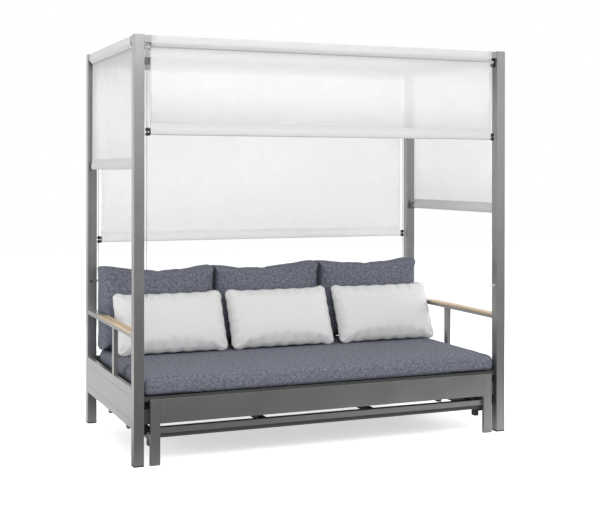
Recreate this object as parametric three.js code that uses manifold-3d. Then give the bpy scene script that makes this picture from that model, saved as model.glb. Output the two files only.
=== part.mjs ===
import * as THREE from 'three';
import { mergeVertices } from 'three/addons/utils/BufferGeometryUtils.js';
import Module from 'manifold-3d';

// Outdoor daybed with a canopy: four posts, roller blinds on guide wires, a slatted
// seat whose front half pulls out on its own legs, a seat cushion, back cushions and pillows.
// Millimetres, +Z up, front towards -Y. The origin is on the floor under the middle of the frame.

// Overall frame
const overallWidth = 2095;
const overallDepth = 1104;
const overallHeight = 2100;
const postSide = 51;
const postWall = 2;
const tubeWall = 2;

// Clearances
const fitGap = 0.3;
const cutOverrun = 4;

// Post feet
const footHeight = 6;
const footPlugLength = 24;

// Top rails and roof cloth
const railHeight = 36;
const railDepth = 47;
const railTopDrop = 4;
const railSetBack = 2;
const clothThickness = 1.4;
const clothEndGap = 34;

// Blinds: roller, bracket, guide wire, bottom bar
const wireInset = 18.5;
const wireEndGap = 16.5;
const wireRadius = 1.2;
const rollRadius = 17;
const rollerTubeRadius = 11;
const rollerDrop = 18;
const bracketPlate = 8;
const socketFloor = 2;
const bracketWidth = 30;
const bracketUp = 17;
const bracketDown = 28;
const tabReach = 24;
const tabThickness = 8;
const tabWidth = 14;
const eyeletHeight = 808;
const eyeletRadius = 6;
const eyeletWire = 2;
const barHeight = 31;
const barThickness = 14;
const barEndGap = 7;
const clipHeight = 42;
const clipThickness = 13;
const clipTongue = 8;
const clipBeyondWire = 5.5;
const clipHoleRadius = 2.6;
const frontBarBottom = 1611;
const leftBarBottom = 1443;
const backBarBottom = 1027;
const rightBarBottom = 1205;

// Side and rear panels
const panelBottom = 179;
const panelTop = 378;
const panelThickness = 20;
const panelWall = 3;
const upperGrooveDrop = 44;
const lowerGrooveRise = 41;
const grooveWidth = 2.4;
const grooveDepth = 1.3;

// Armrests
const armTop = 645;
const armHeight = 24;
const armWidth = 50;
const armBoardThickness = 12;
const armBoardProud = 3;
const armBoardEndGap = 335;
const armSupportWidth = 22;
const armSupportDepth = 40;
const leftSupportFront = -135;
const rightSupportFront = 41;

// Backrest rail
const backRailTop = 640;
const backRailHeight = 50;
const backRailDepth = 44;

// Guide channels inside the side panels
const channelWeb = 3;
const channelReach = 30;
const channelFlange = 6;
const channelTopDrop = 4;
const channelBelowRunner = 55;
const runnerHeight = 80;

// Slatted deck
const deckTop = 334;
const deckBeamHeight = 28;
const deckBeamDepth = 40;
const slatHeight = 22.3;
const slatWidth = 60;
const slatSpace = 12;
const slatWall = 2;
const slatSink = 0.5;
const deckFrontGap = 60;
const deckBackGap = 52;
const slidingSlatDrop = 2;
const slidingSlatShort = 20;

// Pull-out front
const frontEndGap = 31.5;
const frontDrop = 12;
const apronHeight = 119;
const frontThickness = 20;
const legWidth = 50;
const frontBarDepth = 27;
const frontBarHeight = 40.5;
const runnerInset = 25;
const runnerLap = 8;
const runnerRearGap = 112;

// Lower frame of the pull-out
const lowerRailTop = 178;
const lowerRailHeight = 50;
const lowerRailDepth = 40;
const lowerRailLip = 28;
const lowerRailStep = 10;
const lowerBarSide = 40;
const lowerBarRearGap = 82;
const outerBarInset = 30;
const skidWidth = 25;
const skidLength = 36;
const skidHeight = 38;

// Seat cushion
const seatEndGap = 6.5;
const seatFrontGap = 14;
const seatBackGap = 62;
const seatEdgeHeight = 82;
const seatCrown = 5;
const seatSideBulge = 7;
const seatCorner = 12;

// Back cushions
const backCushionSlack = 43;
const backCushionHeight = 474;
const backCushionEdge = 160;
const backCushionCrown = 43;
const backCushionRearCrown = 4;
const backCushionBulge = 6;
const backCushionDraw = 8;
const backCushionCorner = 16;

// Pillows
const pillowSlack = 115;
const pillowHeight = 364;
const pillowSeam = 6;
const pillowCrown = 66;
const pillowDraw = 14;
const pillowStandOff = 22.3;
const pillowLean = 0.435;

// Shares of the cushions' forms, of their places along the seat and of the low bars' places
const rimEaseShare = 0.5;
const backCushionPlaceShares = [-0.6744, -0.0161, 0.6473];
const pillowPlaceShares = [-0.6473, 0.008, 0.6774];
const innerBarPlaceShare = 0.3337;
const skidPlaceShares = [0.069, 0.501, 0.932];

// Facets
const roundFacets = 24;
const wireFacets = 8;
const eyeletFacets = 12;
const eyeletWireFacets = 6;

// Sizes worked out from the ones above
const halfWidth = overallWidth / 2;
const halfDepth = overallDepth / 2;
const postInnerX = halfWidth - postSide;
const postInnerY = halfDepth - postSide;
const railTop = overallHeight - railTopDrop;
const railBottom = railTop - railHeight;
const rollerHeight = railBottom - rollerDrop;
const armBottom = armTop - armHeight;
const armBoardFloor = armTop + armBoardProud - armBoardThickness;
const armBoardBackEnd = halfDepth - armBoardEndGap;
const panelUpperGroove = panelTop - upperGrooveDrop;
const panelLowerGroove = panelBottom + lowerGrooveRise;
const deckBeamTop = deckTop - slatHeight;
const deckFront = halfDepth - deckFrontGap;
const deckBack = halfDepth - deckBackGap;
const slidingSlatFloor = deckBeamTop + fitGap;
const slidingSlatBack = deckBack - slidingSlatShort;
const frontHalfWidth = postInnerX - frontEndGap;
const frontTop = deckTop - frontDrop;
const frontBack = halfDepth - frontThickness;
const frontBarTop = slidingSlatFloor + slatSink;
const frontBarBase = frontBarTop - frontBarHeight;
const runnerTop = frontBarBase + runnerLap;
const runnerBottom = runnerTop - runnerHeight;
const runnerInner = frontHalfWidth - runnerInset;
const runnerBack = halfDepth - runnerRearGap;
const channelOuter = postInnerX - fitGap;
const channelInner = channelOuter - channelReach;
const channelTop = deckTop - channelTopDrop;
const channelBottom = runnerBottom - channelBelowRunner;
const slatPitch = 2 * (slatWidth + slatSpace);
const fixedSlatCount = 1 + 2 * Math.floor((channelInner - fitGap - slatWidth / 2) / slatPitch);
const lowerBarTop = lowerRailTop - lowerRailLip;
const lowerBarFront = -frontBack + 2 * fitGap + lowerRailDepth;
const lowerBarBack = halfDepth - lowerBarRearGap;
const outerBarCentre = frontHalfWidth - outerBarInset;
const innerBarCentre = outerBarCentre * innerBarPlaceShare;
const seatWidth = 2 * (postInnerX - seatEndGap);
const seatFront = halfDepth - seatFrontGap;
const seatBack = halfDepth - seatBackGap;
const seatTop = deckTop + fitGap + seatEdgeHeight + 2 * seatCrown;
const backCushionWidth = (2 * postInnerX - backCushionSlack) / 3;
const backCushionRear = halfDepth - backRailDepth - fitGap;
const backCushionFace = backCushionRear - backCushionRearCrown - backCushionEdge - backCushionCrown;
const pillowWidth = (2 * postInnerX - pillowSlack) / 3;
const pillowFootY = backCushionFace - pillowHeight * Math.sin(pillowLean) - pillowStandOff;

const frameMetal = { color: 0x84868a, roughness: 0.55, metalness: 0.35 };
const darkMetal = { color: 0x4a4c50, roughness: 0.55, metalness: 0.35 };
const blackPlastic = { color: 0x1b1b1d, roughness: 0.5, metalness: 0 };
const barePlastic = { color: 0x3a3a3c, roughness: 0.5, metalness: 0 };
const whiteCloth = { color: 0xf1f1ef, roughness: 0.9, metalness: 0 };
const hemCloth = { color: 0xd4d4d4, roughness: 0.85, metalness: 0 };
const teak = { color: 0xcbb48f, roughness: 0.6, metalness: 0 };
const blueWeave = { color: 0x6b7080, roughness: 0.95, metalness: 0 };
const paleWeave = { color: 0xdcdcda, roughness: 0.95, metalness: 0 };

const wasm = await Module();
wasm.setup();

const daybed = new THREE.Group();
daybed.name = 'daybed_with_canopy';

// Puts a named mesh into a group.
function place(group, name, geometry, look) {
  const mesh = new THREE.Mesh(geometry, new THREE.MeshStandardMaterial(look));
  mesh.name = name;
  group.add(mesh);
  return mesh;
}

// A closed geometry as a solid that can be cut and joined.
function solidOf(geometry) {
  const bare = geometry.clone();
  bare.deleteAttribute('normal');
  bare.deleteAttribute('uv');
  const merged = mergeVertices(bare);
  return new wasm.Manifold(new wasm.Mesh({
    numProp: 3,
    vertProperties: new Float32Array(merged.attributes.position.array),
    triVerts: new Uint32Array(merged.index.array),
  }));
}

// A solid as a geometry with flat faces.
function geometryOf(solid) {
  const mesh = solid.getMesh();
  const indexed = new THREE.BufferGeometry();
  indexed.setAttribute('position', new THREE.BufferAttribute(mesh.vertProperties, mesh.numProp));
  indexed.setIndex(new THREE.BufferAttribute(mesh.triVerts, 1));
  const flat = indexed.toNonIndexed();
  flat.computeVertexNormals();
  return flat;
}

// A box between any two opposite corners.
function boxBetween(first, second) {
  const low = first.map((value, axis) => Math.min(value, second[axis]));
  const high = first.map((value, axis) => Math.max(value, second[axis]));
  const geometry = new THREE.BoxGeometry(high[0] - low[0], high[1] - low[1], high[2] - low[2]);
  geometry.translate((low[0] + high[0]) / 2, (low[1] + high[1]) / 2, (low[2] + high[2]) / 2);
  return geometry;
}

function boxSolid(first, second) {
  return solidOf(boxBetween(first, second));
}

// A box tube open at both ends of one axis.
function openTube(first, second, axis, wall) {
  const low = first.map((value, place) => Math.min(value, second[place]) + wall);
  const high = first.map((value, place) => Math.max(value, second[place]) - wall);
  low[axis] -= wall + cutOverrun;
  high[axis] += wall + cutOverrun;
  return boxSolid(first, second).subtract(boxSolid(low, high));
}

// A round bar along X, Y or Z.
function roundBar(radius, length, centre, axis, facets) {
  const geometry = new THREE.CylinderGeometry(radius, radius, length, facets);
  if (axis === 'x') geometry.rotateZ(Math.PI / 2);
  if (axis === 'z') geometry.rotateX(Math.PI / 2);
  geometry.translate(centre[0], centre[1], centre[2]);
  return geometry;
}

// An outline of [y, z] points carried along X between two ends.
function barAlongX(outline, startX, endX) {
  const shape = new THREE.Shape(outline.map(([y, z]) => new THREE.Vector2(y, z)));
  const length = endX - startX;
  const geometry = new THREE.ExtrudeGeometry(shape, { depth: length, bevelEnabled: false });
  geometry.rotateY(Math.PI / 2);
  geometry.rotateX(Math.PI / 2);
  geometry.translate(startX, 0, 0);
  return geometry;
}

// A post tube with a closed top, and the plastic foot that plugs its lower end.
function addPost(endName, sideX, sideY) {
  const outerX = sideX * halfWidth;
  const outerY = sideY * halfDepth;
  const innerX = sideX * postInnerX;
  const innerY = sideY * postInnerY;
  const base = footHeight + fitGap;
  const body = boxSolid([outerX, outerY, base], [innerX, innerY, overallHeight]);
  const hollow = boxSolid(
    [outerX - sideX * postWall, outerY - sideY * postWall, base - cutOverrun],
    [innerX + sideX * postWall, innerY + sideY * postWall, overallHeight - postWall],
  );
  place(daybed, `post_${endName}`, geometryOf(body.subtract(hollow)), frameMetal);

  const inset = postWall + fitGap;
  const sole = boxSolid([outerX, outerY, 0], [innerX, innerY, footHeight]);
  const plug = boxSolid(
    [outerX - sideX * inset, outerY - sideY * inset, footHeight - slatSink],
    [innerX + sideX * inset, innerY + sideY * inset, footHeight + footPlugLength],
  );
  place(daybed, `foot_${endName}`, geometryOf(sole.add(plug)), blackPlastic);
}

// Four box rails join the post tops.
function addTopRails() {
  const railX = postInnerX - fitGap;
  const railY = postInnerY - fitGap;
  for (const [name, sign] of [['front', -1], ['back', 1]]) {
    const outer = sign * (halfDepth - railSetBack);
    const inner = outer - sign * railDepth;
    const rail = openTube([-railX, outer, railBottom], [railX, inner, railTop], 0, tubeWall);
    place(daybed, `top_rail_${name}`, geometryOf(rail), frameMetal);
  }
  for (const [name, sign] of [['left', -1], ['right', 1]]) {
    const outer = sign * (halfWidth - railSetBack);
    const inner = outer - sign * railDepth;
    const rail = openTube([outer, -railY, railBottom], [inner, railY, railTop], 1, tubeWall);
    place(daybed, `top_rail_${name}`, geometryOf(rail), frameMetal);
  }
}

// The roof cloth lies over the rails and folds down over their outer faces, short of the posts.
function addRoofCloth() {
  const spanX = postInnerX - clothEndGap;
  const spanY = postInnerY - clothEndGap;
  const skirtX = halfWidth - railSetBack + fitGap;
  const skirtY = halfDepth - railSetBack + fitGap;
  const outX = skirtX + clothThickness;
  const outY = skirtY + clothThickness;
  const under = railTop + fitGap;
  const over = under + clothThickness;
  let cloth = boxSolid([-spanX, -outY, under], [spanX, outY, over]);
  cloth = cloth.add(boxSolid([-outX, -spanY, under], [outX, spanY, over]));
  for (const sign of [-1, 1]) {
    cloth = cloth.add(boxSolid([-spanX, sign * skirtY, railBottom], [spanX, sign * outY, over]));
    cloth = cloth.add(boxSolid([sign * skirtX, -spanY, railBottom], [sign * outX, spanY, over]));
  }
  place(daybed, 'roof_cloth', geometryOf(cloth), whiteCloth);
}

// A roller: a bare tube with the wound cloth on it.
function rollerGeometry(tubeHalf, clothHalf, axisY) {
  const profile = [
    [0, -tubeHalf], [rollerTubeRadius, -tubeHalf], [rollerTubeRadius, -clothHalf],
    [rollRadius, -clothHalf], [rollRadius, clothHalf], [rollerTubeRadius, clothHalf],
    [rollerTubeRadius, tubeHalf], [0, tubeHalf],
  ];
  const points = profile.map(([radius, along]) => new THREE.Vector2(radius, along));
  const geometry = new THREE.LatheGeometry(points, roundFacets);
  geometry.rotateZ(-Math.PI / 2);
  geometry.translate(0, axisY, rollerHeight);
  return geometry;
}

// A bracket on the post with the roller's socket, the guide wire below it and its eyelet.
function guideGeometry(end, postFace, wireY, axisY) {
  const face = end * (postFace - fitGap);
  const wireX = end * (postFace - wireEndGap);
  const tabFloor = rollerHeight - bracketDown;
  const plate = boxSolid(
    [face, axisY - bracketWidth / 2, tabFloor],
    [face - end * bracketPlate, axisY + bracketWidth / 2, rollerHeight + bracketUp],
  );
  const tab = boxSolid(
    [face, wireY - tabWidth / 2, tabFloor],
    [face - end * tabReach, wireY + tabWidth / 2, tabFloor + tabThickness],
  );
  const socketRadius = rollerTubeRadius + 2 * fitGap;
  const socketLength = bracketPlate - socketFloor + cutOverrun;
  const socketX = face - end * (socketFloor + socketLength / 2);
  const socket = roundBar(socketRadius, socketLength, [socketX, axisY, rollerHeight], 'x', roundFacets);
  const wireTop = tabFloor + tabThickness / 2;
  const wireFoot = eyeletHeight + eyeletRadius;
  const wire = roundBar(wireRadius, wireTop - wireFoot, [wireX, wireY, (wireTop + wireFoot) / 2], 'z', wireFacets);
  const ring = new THREE.TorusGeometry(eyeletRadius, eyeletWire, eyeletWireFacets, eyeletFacets);
  ring.rotateX(Math.PI / 2);
  ring.translate(wireX, wireY, eyeletHeight);
  const stemLength = wireEndGap - fitGap - eyeletRadius;
  const stemX = face - end * stemLength / 2;
  const stem = roundBar(eyeletWire, stemLength, [stemX, wireY, eyeletHeight], 'x', wireFacets);
  let guide = plate.add(tab).subtract(solidOf(socket));
  guide = guide.add(solidOf(wire)).add(solidOf(ring)).add(solidOf(stem));
  return geometryOf(guide);
}

// The bottom bar in its hem, with a plastic clip at each end that rides on the guide wire.
function barGeometry(barHalf, postFace, wireY, barBottom) {
  const half = barThickness / 2;
  const barTop = barBottom + barHeight;
  const middle = barBottom + barHeight / 2;
  const inside = postFace - clothEndGap + fitGap;
  let bar = boxSolid([-barHalf, wireY - half, barBottom], [barHalf, wireY + half, barTop]);
  for (const end of [-1, 1]) {
    const wireX = end * (postFace - wireEndGap);
    const tongue = boxSolid(
      [end * (barHalf - slatSink), wireY - clipTongue / 2, middle - clipTongue],
      [end * (inside + slatSink), wireY + clipTongue / 2, middle + clipTongue],
    );
    const clip = boxSolid(
      [end * inside, wireY - clipThickness / 2, middle - clipHeight / 2],
      [wireX + end * clipBeyondWire, wireY + clipThickness / 2, middle + clipHeight / 2],
    );
    const hole = roundBar(clipHoleRadius, clipHeight + cutOverrun, [wireX, wireY, middle], 'z', wireFacets);
    bar = bar.add(tongue).add(clip).subtract(solidOf(hole));
  }
  return geometryOf(bar);
}

// One blind between two posts, drawn as the front one and turned about Z to its side.
function addBlind(blind) {
  const group = new THREE.Group();
  group.rotation.z = blind.turn;
  daybed.add(group);
  const wireY = -(blind.outerFace - wireInset);
  const axisY = wireY + rollRadius;
  const clothHalf = blind.postFace - clothEndGap;
  const tubeHalf = blind.postFace - 2 * fitGap - socketFloor;
  place(group, `${blind.name}_blind_roller`, rollerGeometry(tubeHalf, clothHalf, axisY), whiteCloth);

  const barTop = blind.barBottom + barHeight;
  const clothBack = wireY - fitGap;
  const cloth = boxBetween(
    [-clothHalf, clothBack - clothThickness, barTop + fitGap],
    [clothHalf, clothBack, rollerHeight],
  );
  place(group, `${blind.name}_blind_cloth`, cloth, whiteCloth);

  const barHalf = clothHalf - barEndGap;
  const bar = barGeometry(barHalf, blind.postFace, wireY, blind.barBottom);
  place(group, `${blind.name}_blind_bar`, bar, hemCloth);
  for (const [end, endName] of [[-1, blind.ends[0]], [1, blind.ends[1]]]) {
    const guide = guideGeometry(end, blind.postFace, wireY, axisY);
    place(group, `${blind.name}_blind_guide_${endName}`, guide, barePlastic);
  }
}

// A hollow panel of three planks: two grooves run along its outer face.
function sidePanel(sign) {
  const outer = sign * halfWidth;
  const inner = outer - sign * panelThickness;
  const reach = postInnerY - fitGap;
  let panel = openTube([outer, -reach, panelBottom], [inner, reach, panelTop], 1, panelWall);
  for (const height of [panelUpperGroove, panelLowerGroove]) {
    panel = panel.subtract(boxSolid(
      [outer + sign * cutOverrun, -reach - cutOverrun, height - grooveWidth / 2],
      [outer - sign * grooveDepth, reach + cutOverrun, height + grooveWidth / 2],
    ));
  }
  return geometryOf(panel);
}

function rearPanel() {
  const reach = postInnerX - fitGap;
  let panel = openTube(
    [-reach, halfDepth - panelThickness, panelBottom],
    [reach, halfDepth, panelTop],
    0,
    panelWall,
  );
  for (const height of [panelUpperGroove, panelLowerGroove]) {
    panel = panel.subtract(boxSolid(
      [-reach - cutOverrun, halfDepth - grooveDepth, height - grooveWidth / 2],
      [reach + cutOverrun, halfDepth + cutOverrun, height + grooveWidth / 2],
    ));
  }
  return geometryOf(panel);
}

// An arm: a flat tube between the posts, notched for its board, welded to one upright.
function armFrame(sign, supportFront) {
  const outer = sign * halfWidth;
  const inner = outer - sign * armWidth;
  const reach = postInnerY - fitGap;
  let arm = boxSolid([outer, -reach, armBottom], [inner, reach, armTop]);
  arm = arm.subtract(boxSolid(
    [outer + sign * cutOverrun, -reach - cutOverrun, armBoardFloor],
    [inner - sign * cutOverrun, armBoardBackEnd, armTop + cutOverrun],
  ));
  arm = arm.subtract(boxSolid(
    [outer - sign * tubeWall, -reach - cutOverrun, armBottom + tubeWall],
    [inner + sign * tubeWall, reach + cutOverrun, armBoardFloor - tubeWall],
  ));
  const back = supportFront + armSupportDepth;
  const upright = boxSolid(
    [outer, supportFront, panelTop + fitGap],
    [outer - sign * armSupportWidth, back, armBottom + tubeWall / 2],
  );
  const bore = boxSolid(
    [outer - sign * tubeWall, supportFront + tubeWall, panelTop - cutOverrun],
    [outer - sign * (armSupportWidth - tubeWall), back - tubeWall, armBottom - tubeWall],
  );
  return geometryOf(arm.add(upright).subtract(bore));
}

function armBoard(sign) {
  const floor = armBoardFloor + fitGap;
  return boxBetween(
    [sign * halfWidth, -(postInnerY - fitGap), floor],
    [sign * (halfWidth - armWidth), armBoardBackEnd - fitGap, floor + armBoardThickness],
  );
}

// A channel screwed inside the side panel's line. Its middle groove carries the runner.
function guideChannel(sign) {
  const outer = sign * channelOuter;
  const inner = sign * channelInner;
  const reach = postInnerY - fitGap;
  const webFace = outer - sign * channelWeb;
  const beyond = inner - sign * cutOverrun;
  const pockets = [
    [channelBottom + channelFlange, runnerBottom - channelFlange],
    [runnerBottom, runnerTop],
    [runnerTop + channelFlange, channelTop - channelFlange],
  ];
  let channel = boxSolid([outer, -reach, channelBottom], [inner, reach, channelTop]);
  for (const [low, high] of pockets) {
    channel = channel.subtract(boxSolid(
      [webFace, -reach - cutOverrun, low],
      [beyond, reach + cutOverrun, high],
    ));
  }
  const packer = boxSolid(
    [outer - sign * fitGap, -reach, panelBottom],
    [sign * (halfWidth - panelThickness - fitGap), -reach + postSide, channelTop],
  );
  const rearPacker = boxSolid(
    [outer - sign * fitGap, reach, panelBottom],
    [sign * (halfWidth - panelThickness - fitGap), reach - postSide, channelTop],
  );
  return geometryOf(channel.add(packer).add(rearPacker));
}

// A slat: a shallow channel open below.
function slat(centreX, front, back, floor, top) {
  const half = slatWidth / 2;
  const body = boxSolid([centreX - half, front, floor], [centreX + half, back, top]);
  const hollow = boxSolid(
    [centreX - half + slatWall, front - cutOverrun, floor - cutOverrun],
    [centreX + half - slatWall, back + cutOverrun, top - slatWall],
  );
  return body.subtract(hollow);
}

// The fixed slats on three cross beams that reach the guide channels.
function fixedDeck() {
  const beamX = channelInner - fitGap;
  const beamFloor = deckBeamTop - deckBeamHeight;
  const beamFronts = [-deckFront, -deckBeamDepth / 2, deckBack - deckBeamDepth];
  let deck = null;
  for (const front of beamFronts) {
    const beam = openTube(
      [-beamX, front, beamFloor],
      [beamX, front + deckBeamDepth, deckBeamTop],
      0,
      tubeWall,
    );
    deck = deck ? deck.add(beam) : beam;
  }
  for (let index = 0; index < fixedSlatCount; index += 1) {
    const centreX = (index - (fixedSlatCount - 1) / 2) * slatPitch;
    deck = deck.add(slat(centreX, -deckFront, deckBack, deckBeamTop - slatSink, deckTop));
  }
  return geometryOf(deck);
}

// The sliding slats lie between the fixed ones, on a front bar that the runners carry.
function slidingDeck() {
  const front = -frontBack + fitGap;
  const barX = frontHalfWidth - fitGap;
  const bar = openTube(
    [-barX, front, frontBarBase],
    [barX, front + frontBarDepth, frontBarTop],
    0,
    tubeWall,
  );
  let deck = bar;
  for (let index = 0; index < fixedSlatCount - 1; index += 1) {
    const centreX = (index - (fixedSlatCount - 2) / 2) * slatPitch;
    deck = deck.add(slat(centreX, front, slidingSlatBack, slidingSlatFloor, deckTop - slidingSlatDrop));
  }
  for (const sign of [-1, 1]) {
    const web = sign * (channelOuter - channelWeb - fitGap);
    deck = deck.add(openTube(
      [web, front, runnerBottom + fitGap],
      [sign * runnerInner, runnerBack, runnerTop - fitGap],
      1,
      tubeWall,
    ));
  }
  return geometryOf(deck);
}

// The front board between the two front legs, and the legs, in one plane with the posts.
function addPullOutFront() {
  const legInner = frontHalfWidth - legWidth;
  const apron = openTube(
    [-(legInner - fitGap), -halfDepth, frontTop - apronHeight],
    [legInner - fitGap, -frontBack, frontTop],
    0,
    tubeWall,
  );
  place(daybed, 'front_apron', geometryOf(apron), frameMetal);
  for (const [name, sign] of [['left', -1], ['right', 1]]) {
    const leg = boxSolid([sign * legInner, -halfDepth, 0], [sign * frontHalfWidth, -frontBack, frontTop]);
    const hollow = boxSolid(
      [sign * (legInner + tubeWall), -halfDepth + tubeWall, -cutOverrun],
      [sign * (frontHalfWidth - tubeWall), -frontBack - tubeWall, frontTop - tubeWall],
    );
    place(daybed, `front_leg_${name}`, geometryOf(leg.subtract(hollow)), frameMetal);
  }
  place(daybed, 'sliding_slat_frame', slidingDeck(), darkMetal);
}

// The low cross rail behind the legs: its upper lip stands proud of its lower face.
function lowerCrossRail() {
  const front = -frontBack + fitGap;
  const back = front + lowerRailDepth;
  const floor = lowerRailTop - lowerRailHeight;
  const lipFloor = lowerRailTop - lowerRailLip;
  const outline = [
    [front, lowerRailTop], [front, lipFloor], [front + lowerRailStep, lipFloor],
    [front + lowerRailStep, floor], [back, floor], [back, lowerRailTop],
  ];
  const reach = frontHalfWidth - lowerRailStep;
  const rail = solidOf(barAlongX(outline, -reach, reach));
  const hollow = boxSolid(
    [-reach - cutOverrun, front + lowerRailStep + tubeWall, floor + tubeWall],
    [reach + cutOverrun, back - tubeWall, lowerRailTop - tubeWall],
  );
  return geometryOf(rail.subtract(hollow));
}

// A low bar from front to back. The outer ones carry three skid blocks each.
function lowerBar(centreX, hasSkids) {
  const half = lowerBarSide / 2;
  const floor = lowerBarTop - lowerBarSide;
  let bar = openTube(
    [centreX - half, lowerBarFront, floor],
    [centreX + half, lowerBarBack, lowerBarTop],
    1,
    tubeWall,
  );
  if (!hasSkids) return geometryOf(bar);
  for (const share of skidPlaceShares) {
    const middle = lowerBarFront + share * (lowerBarBack - lowerBarFront);
    bar = bar.add(boxSolid(
      [centreX - skidWidth / 2, middle - skidLength / 2, floor - skidHeight],
      [centreX + skidWidth / 2, middle + skidLength / 2, floor + tubeWall / 2],
    ));
  }
  return geometryOf(bar);
}

function addLowerFrame() {
  place(daybed, 'lower_cross_rail', lowerCrossRail(), darkMetal);
  for (const [name, sign] of [['left', -1], ['right', 1]]) {
    place(daybed, `lower_outer_bar_${name}`, lowerBar(sign * outerBarCentre, true), darkMetal);
    place(daybed, `lower_inner_bar_${name}`, lowerBar(sign * innerBarCentre, false), darkMetal);
  }
}

// A stuffed block: shape.edge is its thickness at the rim. Its face swells by shape.crown and
// its back by shape.rearCrown. Its sides draw in by shape.draw between the corners and bulge
// by shape.bulge, and its corners are eased by shape.corner. The form starts as a unit block.
function cushionGeometry(shape) {
  const [alongX, alongY, alongZ] = shape.steps;
  const box = new THREE.BoxGeometry(1, 1, 1, alongX, alongY, alongZ);
  box.deleteAttribute('normal');
  box.deleteAttribute('uv');
  const geometry = mergeVertices(box);
  const points = geometry.attributes.position;
  for (let index = 0; index < points.count; index += 1) {
    const a = easedShare(points.getX(index) * 2);
    const b = easedShare(points.getY(index) * 2);
    const c = points.getZ(index) * 2;
    const dome = (1 - Math.abs(a) ** shape.flatness) * (1 - Math.abs(b) ** shape.flatness);
    const side = shape.bulge * (1 - c * c);
    const corner = shape.corner * (a * b) ** 8;
    const crown = c > 0 ? shape.crown : shape.rearCrown;
    const spanX = shape.width / 2 - shape.bulge - shape.draw * (1 - b * b) + side - corner;
    const spanY = shape.length / 2 - shape.bulge - shape.draw * (1 - a * a) + side - corner;
    points.setXYZ(index, a * spanX, b * spanY, c * (shape.edge / 2 + crown * Math.sqrt(dome)));
  }
  geometry.computeVertexNormals();
  return geometry;
}

// Moves an even grid line towards the rim, where the form curves most.
function easedShare(share) {
  return Math.sin(share * Math.PI / 2) * rimEaseShare + share * (1 - rimEaseShare);
}

// Lowers or lifts a piece so that its lowest point stands at a height.
function standAt(mesh, floor) {
  mesh.position.z += floor - new THREE.Box3().setFromObject(mesh, true).min.z;
}

// One long seat cushion on the fixed slats.
function addSeatCushion() {
  const geometry = cushionGeometry({
    width: seatWidth,
    length: seatFront + seatBack,
    edge: seatEdgeHeight,
    crown: seatCrown,
    rearCrown: seatCrown,
    draw: 0,
    bulge: seatSideBulge,
    corner: seatCorner,
    flatness: 8,
    steps: [22, 12, 3],
  });
  const mesh = place(daybed, 'seat_cushion', geometry, blueWeave);
  mesh.position.y = (seatBack - seatFront) / 2;
  standAt(mesh, deckTop + fitGap);
}

// Three back cushions stand on the seat cushion against the back rail.
function addBackCushions() {
  const middleY = backCushionRear - backCushionRearCrown - backCushionEdge / 2;
  for (const [index, name] of ['left', 'middle', 'right'].entries()) {
    const geometry = cushionGeometry({
      width: backCushionWidth,
      length: backCushionHeight,
      edge: backCushionEdge,
      crown: backCushionCrown,
      rearCrown: backCushionRearCrown,
      draw: backCushionDraw,
      bulge: backCushionBulge,
      corner: backCushionCorner,
      flatness: 3,
      steps: [12, 10, 2],
    });
    const mesh = place(daybed, `back_cushion_${name}`, geometry, blueWeave);
    mesh.rotation.x = Math.PI / 2;
    mesh.position.set(backCushionPlaceShares[index] * postInnerX, middleY, 0);
    standAt(mesh, seatTop + fitGap);
  }
}

// Three pillows with pinched corners lean on the back cushions.
function addPillows() {
  for (const [index, name] of ['left', 'middle', 'right'].entries()) {
    const geometry = cushionGeometry({
      width: pillowWidth,
      length: pillowHeight,
      edge: pillowSeam,
      crown: pillowCrown,
      rearCrown: pillowCrown,
      draw: pillowDraw,
      bulge: 0,
      corner: 0,
      flatness: 2.4,
      steps: [14, 12, 1],
    });
    geometry.translate(0, pillowHeight / 2, 0);
    const mesh = place(daybed, `pillow_${name}`, geometry, paleWeave);
    mesh.rotation.x = Math.PI / 2 - pillowLean;
    mesh.position.set(pillowPlaceShares[index] * postInnerX, pillowFootY, 0);
    standAt(mesh, seatTop + fitGap);
  }
}

for (const [endName, sideX, sideY] of [
  ['front_left', -1, -1], ['front_right', 1, -1], ['rear_left', -1, 1], ['rear_right', 1, 1],
]) {
  addPost(endName, sideX, sideY);
}
addTopRails();
addRoofCloth();

const frontPlane = { outerFace: halfDepth, postFace: postInnerX };
const sidePlane = { outerFace: halfWidth, postFace: postInnerY };
addBlind({ ...frontPlane, name: 'front', turn: 0, barBottom: frontBarBottom, ends: ['left', 'right'] });
addBlind({ ...frontPlane, name: 'back', turn: Math.PI, barBottom: backBarBottom, ends: ['right', 'left'] });
addBlind({ ...sidePlane, name: 'left', turn: -Math.PI / 2, barBottom: leftBarBottom, ends: ['rear', 'front'] });
addBlind({ ...sidePlane, name: 'right', turn: Math.PI / 2, barBottom: rightBarBottom, ends: ['front', 'rear'] });

for (const [name, sign] of [['left', -1], ['right', 1]]) {
  place(daybed, `side_panel_${name}`, sidePanel(sign), frameMetal);
  const supportFront = name === 'left' ? leftSupportFront : rightSupportFront;
  place(daybed, `arm_frame_${name}`, armFrame(sign, supportFront), frameMetal);
  place(daybed, `arm_board_${name}`, armBoard(sign), teak);
  place(daybed, `guide_channel_${name}`, guideChannel(sign), frameMetal);
}
place(daybed, 'rear_panel', rearPanel(), frameMetal);
const backRail = openTube(
  [-(postInnerX - fitGap), halfDepth - backRailDepth, backRailTop - backRailHeight],
  [postInnerX - fitGap, halfDepth, backRailTop],
  0,
  tubeWall,
);
place(daybed, 'backrest_rail', geometryOf(backRail), frameMetal);
place(daybed, 'fixed_slat_frame', fixedDeck(), darkMetal);
addPullOutFront();
addLowerFrame();
addSeatCushion();
addBackCushions();
addPillows();

export default daybed;
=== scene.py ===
"""An outdoor daybed with a canopy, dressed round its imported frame.

Metres, +Z up, front towards -Y. The origin is on the floor under the middle of the frame.
"""

import logging
import math
from collections.abc import Callable, Sequence
from dataclasses import dataclass, field
from enum import Enum

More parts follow.
